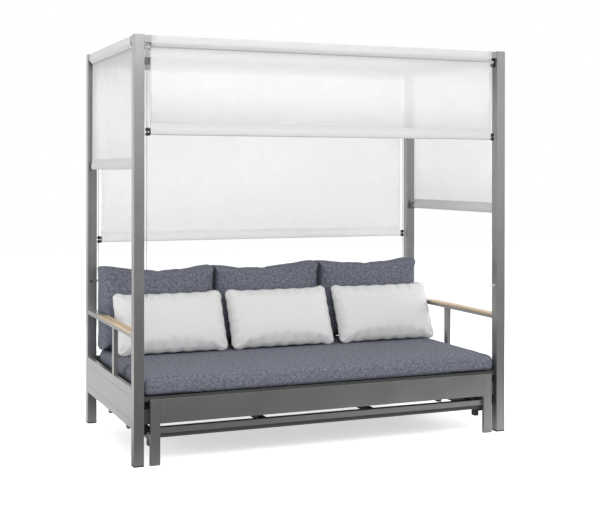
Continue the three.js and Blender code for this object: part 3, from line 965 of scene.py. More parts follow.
@dataclass(frozen=True)
class Lamp:
    """A round soft lamp: its place, what it points at, its width, its power and if it is mirrored."""

    name: str
    place: Point
    target: Point
    size: float
    power: float
    mirrored: bool = False

    def build(self) -> None:
        """Hangs the lamp."""
        data = bpy.data.lights.new(self.name, "AREA")
        data.shape = "DISK"
        data.size = self.size
        data.energy = self.power
        lamp = link(self.name, data)
        lamp.location = self.place
        way = Vector(self.target) - Vector(self.place)
        lamp.rotation_euler = way.to_track_quat("-Z", "Y").to_euler()
        lamp.visible_glossy = self.mirrored


@dataclass
class Studio:
    """A pale floor, a white surround and soft lamps."""

    surround: float = 0.78
    mirrored: Slope = Slope(0.98, (1.1, 0.55, 0.3), 0.1, 1.5)
    floor_half: float = 14.0
    floor_drop: float = 0.4 * MM
    floor_bounce: float = 0.5
    floor_mirrored: Slope = Slope(0.9, (0.22, 0.6, 0.0), 0.06, 0.85)
    floor_seen: float = 0.9
    fade_places: tuple[float, float] = (1.6, 5.0)
    fade_levels: tuple[float, float] = (0.55, 0.4)
    lamps: tuple[Lamp, ...] = (
        Lamp("lamp_front", (-1.0, -3.6, 3.6), (0.0, -0.4, 1.2), 2.5, 100.0, mirrored=True),
        Lamp("lamp_left", (-4.2, -0.1, 0.9), (-1.0, 0.0, 0.5), 2.0, 50.0, mirrored=True),
        Lamp("lamp_back", (0.2, 4.6, 2.0), (0.0, 0.5, 1.5), 3.0, 110.0),
        Lamp("lamp_right", (4.8, 0.4, 2.0), (1.0, 0.0, 1.6), 2.6, 90.0),
        Lamp("lamp_near_right", (3.2, -3.9, 1.2), (0.9, -0.4, 0.6), 1.8, 42.0),
    )

    def build(self) -> None:
        """Sets up the world, the floor and the lamps."""
        self.build_world()
        self.build_floor()
        for lamp in self.lamps:
            lamp.build()
        bpy.context.scene.view_settings.view_transform = "Standard"

    def build_world(self) -> None:
        """The surround is white to the camera, lights at its own level and is mirrored at another."""
        world = bpy.data.worlds.new("studio_surround")
        sheet = empty_sheet(world)
        path = sheet.add("ShaderNodeLightPath").outputs
        seen = sheet.maths("MAXIMUM", path["Is Camera Ray"], path["Is Transmission Ray"])
        way = sheet.add("ShaderNodeTexCoord").outputs["Generated"]
        unseen = sheet.mixed(path["Is Glossy Ray"], self.surround, self.mirrored.level(sheet, way))
        inputs = {"Color": (1.0, 1.0, 1.0, 1.0), "Strength": sheet.mixed(seen, unseen, 1.0)}
        light = sheet.add("ShaderNodeBackground", inputs)
        sheet.add("ShaderNodeOutputWorld", {"Surface": light.outputs["Background"]})
        bpy.context.scene.world = world

    def build_floor(self) -> None:
        """A wide pale floor that keeps the shadow and glows less with distance."""
        half = self.floor_half
        corners = [(-half, -half, 0), (half, -half, 0), (half, half, 0), (-half, half, 0)]
        mesh = bpy.data.meshes.new("studio_floor")
        mesh.from_pydata(corners, [], [(0, 1, 2, 3)])
        floor = link("studio_floor", mesh)
        floor.location.z = -self.floor_drop
        made = bpy.data.materials.new("studio_floor_white")
        sheet = empty_sheet(made)
        path = sheet.add("ShaderNodeLightPath").outputs
        place = sheet.add("ShaderNodeTexCoord").outputs["Object"]
        mirrored = self.floor_mirrored.level(sheet, place)
        bounce = sheet.mixed(path["Is Glossy Ray"], self.floor_bounce, mirrored)
        paint = sheet.mixed(path["Is Camera Ray"], bounce, self.floor_seen)
        matt = sheet.add("ShaderNodeBsdfDiffuse", {"Color": paint})
        inputs = {"Value": sheet.vectors("LENGTH", place).outputs["Value"]}
        inputs |= dict(zip(("From Min", "From Max"), self.fade_places))
        inputs |= dict(zip(("To Min", "To Max"), self.fade_levels))
        fade = sheet.add("ShaderNodeMapRange", inputs).outputs["Result"]
        seen = sheet.maths("MULTIPLY", fade, path["Is Camera Ray"])
        lift = sheet.add("ShaderNodeEmission", {"Strength": seen})
        both = sheet.add("ShaderNodeAddShader", {0: matt.outputs["BSDF"], 1: lift.outputs["Emission"]})
        sheet.add("ShaderNodeOutputMaterial", {"Surface": both.outputs["Shader"]})
        mesh.materials.append(made)


# Metal frame


@dataclass
class Metalwork:
    """The painted tubes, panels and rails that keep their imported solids."""

    edge: float = 1.2 * MM
    finishes: dict[Look, tuple[str, ...]] = field(
        default_factory=lambda: {
            Look.FRAME: (
                "post_", "top_rail_", "side_panel_", "rear_panel", "arm_frame_",
                "backrest_rail", "front_apron", "front_leg_", "guide_channel_",
                "lower_cross_rail",
            ),
            Look.FOOT: ("foot_",),
        }
    )

    def build(self) -> None:
        """Eases the edges of each solid and paints it."""
        for look, starts in self.finishes.items():
            for name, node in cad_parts.items():
                if name.startswith(starts):
                    self.dress(node, look)
                    log.info("dressed %s", name)

    def dress(self, node: bpy.types.Object, look: Look) -> None:
        """Joins a solid's loose triangles, rounds its edges and paints it.

        Args:
            node: The solid.
            look: Its finish.
        """
        weld = node.modifiers.new("join", "WELD")
        weld.merge_threshold = 0.02 * MM
        flat = node.modifiers.new("flatten", "DECIMATE")
        flat.decimate_type = "DISSOLVE"
        flat.angle_limit = math.radians(0.5)
        ease = node.modifiers.new("ease", "BEVEL")
        ease.width = self.edge
        ease.segments = 2
        ease.limit_method = "ANGLE"
        ease.angle_limit = math.radians(40)
        ease.use_clamp_overlap = True
        ease.harden_normals = True
        node.data.materials.clear()
        node.data.materials.append(look.material)


@dataclass
class ArmBoards:
    """The two teak boards on the arms."""

    radius: float = 2.2 * MM

    def build(self) -> None:
        """Makes a rounded board in each board's place."""
        for side in ("left", "right"):
            draft = Draft()
            draft.block(*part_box(f"arm_board_{side}"), self.radius, 3)
            board = draft.finished(f"teak_board_{side}", Look.TEAK)
            belong(board, "teak", "frame", f"arm_board_{side}")


@dataclass
class Deck:
    """A deck of slats with what carries them.

    Attributes:
        row: The tree that sets out the slats.
        kind: fixed or sliding.
        body: The body that it moves with.
        height: The height of its slats.
        setback: How far behind its front the slats start.
        centred: 1 if a slat stands in the middle, and else 0.
    """

    row: Row
    kind: str = ""
    body: str = ""
    height: float = 0.0
    setback: float = 0.0
    centred: int = 0
    slat_width: float = 60 * MM
    slat_wall: float = 2 * MM
    slat_radius: float = 3 * MM
    slat_space: float = 12 * MM
    plug_inset: float = 0.5 * MM
    plug_depth: float = 9 * MM
    plug_play: float = 0.2 * MM
    wall: float = 2 * MM

    def __post_init__(self) -> None:
        """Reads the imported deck's corners."""
        self.low, self.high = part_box(f"{self.kind}_slat_frame")

    def carry(self, draft: Draft) -> None:
        """Adds what carries the slats."""
        raise NotImplementedError

    def slat(self) -> bpy.types.Object:
        """One slat, open below, with its front end at the origin."""
        half, top = self.slat_width / 2, self.height
        inner, under = half - self.slat_wall, self.height - self.slat_wall
        corners = [(-half, 0), (-half, top), (half, top), (half, 0)]
        corners += [(inner, 0), (inner, under), (-inner, under), (-inner, 0)]
        outline = rounded_outline(corners, self.slat_radius)
        length = self.high[1] - self.low[1] - self.setback
        points = [(x, y, z) for y in (length, 0.0) for x, z in outline]
        count = len(outline)
        faces = grid_faces(2, count, closed=True)
        faces += [tuple(range(count)), tuple(reversed(range(count, 2 * count)))]
        return new_object(f"{self.kind}_slats", points, faces, Look.INNER)

    def plugs(self) -> bpy.types.Object:
        """The two end plugs of one slat, in their place along it."""
        inner = self.slat_width / 2 - self.slat_wall - self.plug_play
        top = self.height - self.slat_wall - self.plug_play
        front, back = self.low[1] + self.setback, self.high[1]
        draft = Draft()
        for start, end in (
            (front + self.plug_inset, front + self.plug_depth),
            (back - self.plug_depth, back - self.plug_inset),
        ):
            draft.block((-inner, start, PLAY), (inner, end, top), 1 * MM, 1)
        return draft.finished(f"{self.kind}_slat_plugs", Look.FOOT)

    def build(self) -> None:
        """Makes the slats, their plugs and the carriers."""
        draft = Draft()
        self.carry(draft)
        carriers = draft.finished(f"{self.kind}_deck_carriers", Look.INNER)
        pitch = 2 * (self.slat_width + self.slat_space)
        count = self.centred + 2 * int((self.high[0] - self.slat_width / 2) / pitch)
        first, lift = -(count - 1) / 2 * pitch, self.high[2] - self.height
        slats, plugs = self.slat(), self.plugs()
        start = (first, self.low[1] + self.setback, lift)
        self.row.lay(slats, count, start, (pitch, 0.0, 0.0), Look.INNER)
        self.row.lay(plugs, count, (first, 0.0, lift), (pitch, 0.0, 0.0), Look.FOOT)
        for piece in (slats, carriers, plugs):
            belong(piece, "dark_metal", self.body, f"{self.kind}_slat_frame")
        log.info("made the %s deck of %d slats", self.kind, count)


@dataclass
class FixedDeck(Deck):
    """The deck that stays, on three beams from side to side."""

    kind: str = "fixed"
    body: str = "frame"
    height: float = 22.3 * MM
    centred: int = 1
    beam_depth: float = 40 * MM
    beam_height: float = 28 * MM

    def carry(self, draft: Draft) -> None:
        """Adds the three beams."""
        low, high = self.low, self.high
        for front in (low[1], -self.beam_depth / 2, high[1] - self.beam_depth):
            stop = (high[0], front + self.beam_depth, low[2] + self.beam_height)
            draft.tube((low[0], front, low[2]), stop, 0, self.wall)


@dataclass
class SlidingDeck(Deck):
    """The deck that pulls out, on a front bar and a runner at each side."""

    kind: str = "sliding"
    body: str = "pull_out"
    height: float = 19.5 * MM
    setback: float = 2 * MM
    runner_width: float = 24.7 * MM
    runner_height: float = 79.4 * MM
    runner_back: float = 440 * MM
    bar_depth: float = 27 * MM
    bar_height: float = 40.5 * MM
    lip_rise: float = 1.8 * MM
    filler_inset: float = 0.4 * MM

    def carry(self, draft: Draft) -> None:
        """Adds the bar with its front lip, and the runners with their filled front ends."""
        low, high, wall = self.low, self.high, self.wall
        bar_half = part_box("front_leg_right")[1][0] - PLAY
        bar_top = high[2] - self.height
        bar_foot, bar_back = bar_top - self.bar_height, low[1] + self.bar_depth
        draft.tube((-bar_half, low[1], bar_foot), (bar_half, bar_back, bar_top), 0, wall)
        lip_top = (high[0], low[1] + wall, high[2] + self.lip_rise)
        draft.block((-high[0], low[1], bar_top - wall), lip_top, 0.6 * MM, 1)
        for side in (-1, 1):
            left, right = sorted((side * (bar_half - self.runner_width), side * high[0]))
            runner_end = (right, self.runner_back, low[2] + self.runner_height)
            draft.tube((left, bar_back, low[2]), runner_end, 1, wall)
            draft.tube((left, low[1], low[2]), (right, bar_back, bar_foot), 1, wall)
            draft.block(
                (left + wall, low[1] + self.filler_inset, low[2] + wall),
                (right - wall, low[1] + wall, bar_foot - wall),
                0.4 * MM,
                1,
            )


@dataclass
class ChannelNoses:
    """The black trim of the guide channels: front caps, and the strip beside the outer slats. Their black
    is partly the plastic's own colour and partly painted shade for the shaded channels.
    """

    depth: float = 3 * MM
    runner: tuple[float, float] = (200.3 * MM, 279.7 * MM)
    runner_play: float = 2 * MM
    strip_gap: float = 2 * MM
    strip_width: float = 64 * MM
    strip_height: float = 20 * MM

    def build(self) -> None:
        """Makes each side's caps and strip as one piece."""
        slats_low, slats_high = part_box("fixed_slat_frame")
        top = slats_high[2] - PLAY
        for side in ("left", "right"):
            low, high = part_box(f"guide_channel_{side}")
            inner, way = (low[0], -1) if side == "right" else (high[0], 1)
            draft = Draft()
            below = (low[2], self.runner[0] - self.runner_play)
            above = (self.runner[1] + self.runner_play, top)
            # Black caps close each channel's mouth below and above the runner; their black also paints the
            # shade of the channel cavity behind them.
            for foot, head in (below, above):
                draft.block((low[0], low[1] - self.depth, foot), (high[0], low[1], head), 1 * MM)
            near = inner + way * self.strip_gap
            draft.block(
                (near, slats_low[1], slats_high[2] - self.strip_height),
                (near + way * self.strip_width, slats_high[1], top),
                2 * MM,
            )
            belong(draft.finished(f"channel_nose_{side}", Look.FOOT), "foot_plastic", "frame")


@dataclass
class LowBars:
    """The four low bars that run back from the cross rail, and a dark strip under its lip that paints the
    shade of the rail's recessed lower part.
    """

    radius: float = 2 * MM
    lip_depth: float = 10 * MM
    lip_height: float = 28 * MM
    painted_shade_strip: float = 0.8 * MM
    painted_shade_strip_inset: float = 1 * MM

    def build(self) -> None:
        """Dresses the outer bars, whose skid blocks are part of them, and makes the rest."""
        rail_low, rail_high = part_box("lower_cross_rail")
        for side in ("left", "right"):
            Metalwork().dress(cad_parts[f"lower_outer_bar_{side}"], Look.INNER)
            low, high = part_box(f"lower_inner_bar_{side}")
            draft = Draft()
            draft.block((low[0], low[1], rail_low[2]), high, self.radius)
            bar = draft.finished(f"low_inner_bar_{side}", Look.INNER)
            belong(bar, "dark_metal", "pull_out", f"lower_inner_bar_{side}")
        # A thin dark strip under the lip is painted shade for the rail's recessed lower part, which would
        # otherwise be lit as brightly as the lip.
        draft = Draft()
        face, inset = rail_low[1] + self.lip_depth, self.painted_shade_strip_inset
        draft.block(
            (rail_low[0] + inset, face - self.painted_shade_strip, rail_low[2] + inset),
            (rail_high[0] - inset, face, rail_high[2] - self.lip_height - PLAY),
            0.4 * MM,
            1,
        )
        belong(draft.finished("low_rail_web", Look.INNER), "dark_metal", "pull_out")


# Blinds


class Side(Enum):
    """The four sides with a blind."""

    FRONT = ("front", 0.0, ("left", "right"), 0.4)
    BACK = ("back", math.pi, ("right", "left"), 1.7)
    LEFT = ("left", -math.pi / 2, ("rear", "front"), 2.9)
    RIGHT = ("right", math.pi / 2, ("front", "rear"), 4.1)

    def __init__(self, label: str, turn: float, ends: tuple[str, str], phase: float) -> None:
        """Names the parts of the value.

        Args:
            label: The side's name.
            turn: The turn about Z that takes the front blind there.
            ends: The names of its two ends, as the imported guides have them.
            phase: Where the folds of its cloth start.
        """
        self.label = label
        self.turn = turn
        self.ends = ends
        self.phase = phase


@dataclass
class Blind:
    """One roller blind. It is drawn as the front one and turned to its side."""

    side: Side
    seam: Seam
    stitch: bpy.types.Object
    wire_inset: float = 18.5 * MM
    end_gap: float = 34 * MM
    wire_gap: float = 16.5 * MM
    roll_radius: float = 17 * MM
    tube_radius: float = 11 * MM
    roller_height: float = 2.042
    bar_height: float = 31 * MM
    band_height: float = 26 * MM
    eyelet_height: float = 0.808
    cloth_thickness: float = 0.8 * MM
    cloth_behind: float = 1.0 * MM
    fold_depth: float = 1.6 * MM
    fold_width: float = 11 * MM
    stitch_pitch: float = 7 * MM
    layers: int = 6

    def __post_init__(self) -> None:
        """Works out the blind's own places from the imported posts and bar."""
        low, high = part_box("post_front_right")
        if self.side in (Side.FRONT, Side.BACK):
            self.post_face, outer_face = low[0], -low[1]
        else:
            self.post_face, outer_face = -high[1], high[0]
        self.spin = Matrix.Rotation(self.side.turn, 4, "Z")
        self.wire_y = -(outer_face - self.wire_inset)
        self.axis_y = self.wire_y + self.roll_radius
        self.cloth_half = self.post_face - self.end_gap
        low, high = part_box(f"{self.side.label}_blind_bar")
        self.middle = (low[2] + high[2]) / 2
        self.bar_bottom = self.middle - self.bar_height / 2
        self.bar_top = self.middle + self.bar_height / 2

    def spun(self, point: Sequence[float]) -> Point:
        """Turns a point from the front to the blind's side."""
        return tuple(self.spin @ Vector(point))

    def build(self) -> None:
        """Makes every piece of the blind."""
        self.build_cloth()
        self.build_hem()
        self.build_clips()
        self.build_roller()
        self.build_guides()

    def finish(self, piece: bpy.types.Object, slot: str, body: str, *nodes: str) -> None:
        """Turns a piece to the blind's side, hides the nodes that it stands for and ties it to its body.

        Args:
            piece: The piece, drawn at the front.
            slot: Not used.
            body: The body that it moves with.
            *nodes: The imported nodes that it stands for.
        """
        piece.data.transform(self.spin)
        belong(piece, slot, body, *nodes)

    def ripple(self, x: float) -> float:
        """How far the hanging cloth stands out at x, from -1 to 1."""
        waves = ((0.5, 31, 1.0), (0.32, 57, 2.1), (0.18, 93, 3.3))
        return sum(share * math.sin(x * rate + lag * self.side.phase) for share, rate, lag in waves)

    def build_cloth(self) -> None:
        """The hanging cloth: three rows of points, so that drawing it keeps it even."""
        name, half = self.side.label, self.cloth_half
        top, foot = self.roller_height, self.bar_top + PLAY
        y = self.wire_y - self.cloth_behind
        columns = int(2 * half / self.fold_width)
        points = []
        for height, swing in ((top, 0.25), ((top + foot) / 2, 1.0), (foot, 0.2)):
            for column in range(columns + 1):
                x = -half + 2 * half * column / columns
                points.append((x, y + swing * self.fold_depth * self.ripple(x), height))
        # The back and right sheets take the paler copies of the cloth: painted light for their shaded inner
        # faces.
        looks = {Side.BACK: Look.BLIND_BACK_PAINTED_LIGHT, Side.RIGHT: Look.BLIND_RIGHT_PAINTED_LIGHT}
        look = looks.get(self.side, Look.BLIND)
        cloth = new_object(f"{name}_blind_sheet", points, grid_faces(3, columns + 1), look, 80.0)
        loops = cloth.data.loops
        add_uv(cloth.data, [(points[loop.vertex_index][0], points[loop.vertex_index][2]) for loop in loops])
        cloth.data.transform(self.spin)
        thicken(cloth, self.cloth_thickness)
        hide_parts(f"{name}_blind_cloth")
        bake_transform(cloth)
        self.cloth = cloth

    def build_hem(self) -> None:
        """The bar in its pocket, with the doubled band of cloth above it."""
        name, half = self.side.label, self.cloth_half
        stations = int(2 * half / (9 * MM))
        band = self.bar_height + self.band_height
        section = [
            (-1.9, band), (-2.5, band - 3 * MM), (-2.7, band - 11 * MM), (-2.9, 38 * MM),
            (-4.2, 33 * MM), (-6.6, 27 * MM), (-7.0, 19 * MM), (-7.0, 9 * MM), (-5.6, 2.2 * MM),
            (-2.5, 0.0), (2.5, 0.0), (5.6, 2.2 * MM), (7.0, 9 * MM), (7.0, 19 * MM),
            (6.2, 28 * MM), (1.2, 37 * MM), (0.7, band - 8 * MM), (0.1, band),
        ]
        count = len(section)
        points = []
        for station in range(stations + 1):
            x = -half + 2 * half * station / stations
            for across, height in section:
                puff = self.puff(x, across, height, band)
                points.append((x, self.wire_y + (across + puff) * MM, self.bar_bottom + height))
        faces = grid_faces(stations + 1, count, closed=True)
        last = stations * count
        faces += [tuple(range(count)), tuple(reversed(range(last, last + count)))]
        pairs = zip(section, section[1:] + section[:1])
        steps = [math.dist((a[0] * MM, a[1]), (b[0] * MM, b[1])) for a, b in pairs]
        around = np.cumsum([0.0, *steps])
        corners = []
        for face in faces:
            wraps = len(face) == 4 and face[2] % count < face[0] % count
            for place, point in enumerate(face):
                step = count if wraps and place >= 2 else point % count
                corners.append((2 * half * (point // count) / stations, around[step]))
        # The back hem takes the paler copy of the hem cloth, painted light; the others take the darker
        # copy, painted shade.
        look = Look.HEM_BACK_PAINTED_LIGHT if self.side is Side.BACK else Look.HEM
        self.hem = new_object(f"{name}_blind_hem", points, faces, look, 50.0)
        add_uv(self.hem.data, corners)
        self.finish(self.hem, "hem_cloth", f"{name}_bar", f"{name}_blind_bar")
        seam_y, seam_z = self.wire_y - 3.4 * MM, self.bar_bottom + 37.5 * MM
        end = half - 4 * MM
        path = [self.spun((x, seam_y, seam_z)) for x in np.linspace(-end, end, 60)]
        self.sewn = self.seam.sew(
            f"{name}_blind_stitches", path, self.stitch_pitch, self.stitch, Look.THREAD_PALE
        )
        belong(self.sewn, "hem_cloth", f"{name}_bar")

    def puff(self, x: float, across: float, height: float, band: float) -> float:
        """How far the hem's cloth stands off the bar, in millimetres.

        Args:
            x: The place along the bar.
            across: The section's place across the bar, in millimetres.
            height: The height above the bar's lowest line.
            band: The height of the whole hem.

        Returns:
            The puff, away from the bar's middle.
        """
        if abs(across) <= 1.5:
            return 0.0
        share = height / band
        crease = math.sin(x * 43 + 7 * share) + 0.7 * math.sin(x * 97 - 11 * share + 1.3)
        swell = max(0.0, crease) * math.sin(math.pi * min(1.0, share * 1.02)) ** 0.7
        return math.copysign((1.6 if height > self.bar_height else 0.9) * swell, across)

    def declare(self) -> None:
        """Does nothing."""

    def build_clips(self) -> None:
        """Two double-ringed clips that run on the guide wires."""
        draft = Draft()
        cheek = 21 * MM * 0.86
        y, z = self.wire_y, self.middle
        for end in (-1, 1):
            inside = end * (self.cloth_half + PLAY)
            ring_x = end * (self.post_face - self.wire_gap) - end * 2 * MM
            tongue = (inside + end * 2 * MM, y + 4 * MM, z + 8 * MM)
            draft.block((inside - end * 3 * MM, y - 4 * MM, z - 8 * MM), tongue, 1.0 * MM)
            plate = (inside + end * 5 * MM, y + 6.3 * MM, z + cheek)
            draft.block((inside, y - 6.3 * MM, z - cheek), plate, 1.8 * MM, 3)
            for lift in (-11 * MM, 11 * MM):
                draft.ring((ring_x, y, z + lift), "y", 7.0 * MM, 3.4 * MM, 28, 12)
                edge, face = 5.0 * MM, 2.2 * MM
                disc = [(0, -face), (edge, -face), (edge, face), (0, face)]
                draft.turned(disc, (ring_x, y + 0.8 * MM, z + lift), "y", 20)
        clips = draft.finished(f"{self.side.label}_blind_clips", Look.FITTING)
        self.finish(clips, "blind_fittings", f"{self.side.label}_bar")

    def build_roller(self) -> None:
        """The wound cloth on its tube."""
        name, half = self.side.label, self.cloth_half
        centre = (0.0, self.axis_y, self.roller_height)
        spiral = []
        for layer in range(self.layers + 1):
            radius = self.tube_radius + (self.roll_radius - self.tube_radius) * layer / self.layers
            spiral.append((radius - 0.2 * MM, half - (0.5 * MM if layer % 2 else 0.0)))
        steps = 40
        wound = []
        for step in range(steps + 1):
            along = -half + 1 * MM + (2 * half - 2 * MM) * step / steps
            wound.append((self.roll_radius - 0.25 * MM * (1 + math.sin(step * 1.9)), along))
        start, stop = (self.tube_radius, -half), (self.tube_radius, half)
        left = [(radius, -along) for radius, along in spiral]
        profile = [start, *left, *wound, *reversed(spiral), stop, start]
        draft = Draft()
        draft.turned(profile, centre, "x", 40)
        roll = draft.finished(f"{name}_blind_roll", Look.ROLL, 40.0)
        self.map_roll(roll)
        self.finish(roll, "white_cloth", f"{name}_roller", f"{name}_blind_roller")
        end = self.post_face - 2.6 * MM
        inner, ease = self.tube_radius - 0.15 * MM, 1 * MM
        side = [(inner, end - ease), (inner - ease, end), (0, end)]
        draft = Draft()
        draft.turned([*((radius, -along) for radius, along in reversed(side)), *side], centre, "x")
        core = draft.finished(f"{name}_blind_tube", Look.PALE_FITTING)
        self.finish(core, "blind_fittings", f"{name}_roller")

    def map_roll(self, roll: bpy.types.Object) -> None:
        """Lays the cloth map round the roll."""
        corners = []
        for loop in roll.data.loops:
            place = roll.data.vertices[loop.vertex_index].co
            turn = math.atan2(place.z - self.roller_height, place.y - self.axis_y)
            corners.append((place.x, turn * self.roll_radius))
        add_uv(roll.data, corners)

    def build_guides(self) -> None:
        """Brackets with their sockets, guide wires and lower eyelets, and the places of the screws."""
        brackets, wires, eyelets, sockets = Draft(), Draft(), Draft(), Draft()
        roller, axis, y, eyelet = self.roller_height, self.axis_y, self.wire_y, self.eyelet_height
        self.screws = []
        for end in (-1, 1):
            face = end * (self.post_face - PLAY)
            wire_x = end * (self.post_face - self.wire_gap)
            plate = face - end * 5.5 * MM
            foot = (face, axis - 15 * MM, roller - 28 * MM)
            brackets.block(foot, (plate, axis + 15 * MM, roller + 17 * MM), 2.0 * MM, 3)
            brackets.ring((face - end * 6.2 * MM, axis, roller), "x", 13.2 * MM, 1.5 * MM, 32, 8)
            sockets.ring((face - end * 6.6 * MM, axis, roller), "x", 10.4 * MM, 1.4 * MM, 32, 8)
            wire_top = (wire_x, y, roller + 17.5 * MM)
            wires.rod(wire_top, (wire_x, y, eyelet + 6 * MM), 1.2 * MM, 10)
            eyelets.ring((wire_x, y, eyelet), "y", 6 * MM, 2 * MM, 28, 12)
            eyelets.rod((face, y, eyelet), (wire_x + end * 6 * MM, y, eyelet), 2 * MM, 12)
            edge, rim, brim = 5 * MM, 1.2 * MM, 2.4 * MM
            flange = [(0, 0), (edge, 0), (edge, rim), (3.4 * MM, brim), (0, brim)]
            eyelets.turned(flange, (face, y, eyelet), "x", 20)
            for height in (-20 * MM, 12.5 * MM):
                place = (plate, axis + 9.5 * MM, roller + height)
                self.screws.append((self.spun(place), self.spun((-float(end), 0.0, 0.0))))
        label = self.side.label
        eyelet_look = Look.PALE_FITTING if self.side is Side.FRONT else Look.FITTING
        nodes = [f"{label}_blind_guide_{end}" for end in self.side.ends]
        for draft, name, look, stands_for in (
            (brackets, "brackets", Look.FITTING, nodes),
            (sockets, "sockets", Look.PALE_FITTING, ()),
            (wires, "wires", Look.WIRE, ()),
            (eyelets, "eyelets", eyelet_look, ()),
        ):
            piece = draft.finished(f"{label}_blind_{name}", look)
            self.finish(piece, "blind_fittings", "frame", *stands_for)


@dataclass
class Fasteners:
    """Screws in the blind brackets and through the fixed slats."""

    pitch: float = 144 * MM
    columns: int = 6
    inset: float = 20 * MM
    scatter: Scatter = field(default_factory=Scatter)

    def head(self) -> bpy.types.Object:
        """One low round head with a hexagon socket, its seat at the origin."""
        profile = ((0, 0), (3.4, 0), (3.4, 0.7), (2.6, 1.6), (1.5, 1.8), (1.4, 0.8), (0, 0.8))
        draft = Draft()
        draft.turned([(radius * MM, along * MM) for radius, along in profile], (0, 0, 0), "z", 12)
        return draft.finished("screw_head", Look.SCREW)

    def build(self, blinds: Sequence[Blind]) -> None:
        """Sets a screw at each bracket hole and at each crossing of slat and beam.

        Args:
            blinds: The blinds whose brackets are screwed on.
        """
        head = self.head()
        spots = [screw for blind in blinds for screw in blind.screws]
        low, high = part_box("fixed_slat_frame")
        for column in range(-self.columns, self.columns + 1):
            for row in (low[1] + self.inset, 0.0, high[1] - self.inset):
                spots.append(((column * self.pitch, row, high[2]), (0.0, 0.0, 1.0)))
        screws = self.scatter.set_out("frame_screws", spots, head, Look.SCREW)
        belong(screws, "blind_fittings", "frame")
        bpy.data.objects.remove(head, do_unlink=True)
        log.info("set %d screws", len(spots))


@dataclass
class RoofCloth:
    """The cloth over the top rails, folded down outside them."""

    sag: float = 9 * MM
    wave: float = 0.8 * MM
    fold: float = 4 * MM
    thickness: float = 1.0 * MM
    play: float = 0.1 * MM
    overhang: float = 20 * MM
    tuck: float = 14 * MM
    post_gap: float = 34 * MM

    def build(self) -> None:
        """Makes the sheet, with its corners cut out round the posts."""
        low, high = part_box("roof_cloth")
        posts_low, posts_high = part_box("post_front_right")
        span_x = posts_low[0] - self.post_gap
        span_y = -posts_high[1] - self.post_gap
        xs = self.lines(span_x, high[0], high[2] - low[2])
        ys = self.lines(span_y, high[1], high[2] - low[2])
        points, index = [], {}
        top = high[2] - self.thickness / 2 - self.play
        for i, (x, drop_x, u) in enumerate(xs):
            for j, (y, drop_y, v) in enumerate(ys):
                if abs(u) > span_x + 1e-6 and abs(v) > span_y + 1e-6:
                    continue
                flat = max(0.0, 1 - (x / span_x) ** 2) * max(0.0, 1 - (y / span_y) ** 2)
                wave = self.wave * math.sin(x * 23 + y * 9) * flat**0.5
                index[i, j] = len(points)
                points.append((x, y, top - drop_x - drop_y - self.sag * flat**0.8 + wave, u, v))
        faces = []
        for i in range(len(xs) - 1):
            for j in range(len(ys) - 1):
                corners = [(i, j), (i + 1, j), (i + 1, j + 1), (i, j + 1)]
                if all(corner in index for corner in corners):
                    faces.append([index[corner] for corner in corners])
        cloth = new_object("roof_sheet", [point[:3] for point in points], faces, Look.ROOF, 60.0)
        add_uv(cloth.data, [points[loop.vertex_index][3:] for loop in cloth.data.loops])
        thicken(cloth, self.thickness)
        belong(cloth, "white_cloth", "frame", "roof_cloth")

    def lines(self, span: float, outer: float, skirt: float) -> list[tuple[float, float, float]]:
        """Grid lines across the cloth, folded down at both edges.

        Args:
            span: Where the corner cut starts.
            outer: The outer face of the folded edge.
            skirt: The height of the fold.

        Returns:
            For each line its place, its drop and its place on the flat cut.
        """
        half = outer - self.thickness / 2 - self.play
        drop = skirt - self.thickness / 2
        edge = half - self.fold
        side = [(value, 0.0, value) for value in np.linspace(0, span, 26)]
        side += [(value, 0.0, value) for value in np.linspace(span, edge, 9)[1:]]
        for turn in (math.pi / 2 * step / 4 for step in range(1, 5)):
            out, down = self.fold * math.sin(turn), self.fold * (1 - math.cos(turn))
            side.append((edge + out, down, edge + self.fold * turn))
        flat, straight = side[-1][2], drop - self.fold
        for share in (1 / 3, 2 / 3, 1.0):
            side.append((half, self.fold + straight * share, flat + straight * share))
        flat, slope = side[-1][2], math.hypot(self.overhang, self.tuck)
        for share in (0.2, 0.6, 1.0):
            side.append((half - self.tuck * share, drop + self.overhang * share, flat + slope * share))
        return [(-x, fall, -u) for x, fall, u in reversed(side[1:])] + side


# Cushions and pillows


@dataclass(frozen=True)
class Stuffing:
    """How a sewn form is blown up.

    Attributes:
        pressure: The pressure inside.
        cap: The furthest that a point may move.
        frames: The frames of the simulation.
        bend: How stiff the cloth is.
    """

    pressure: float
    cap: float
    frames: int = 16
    bend: float = 0.5


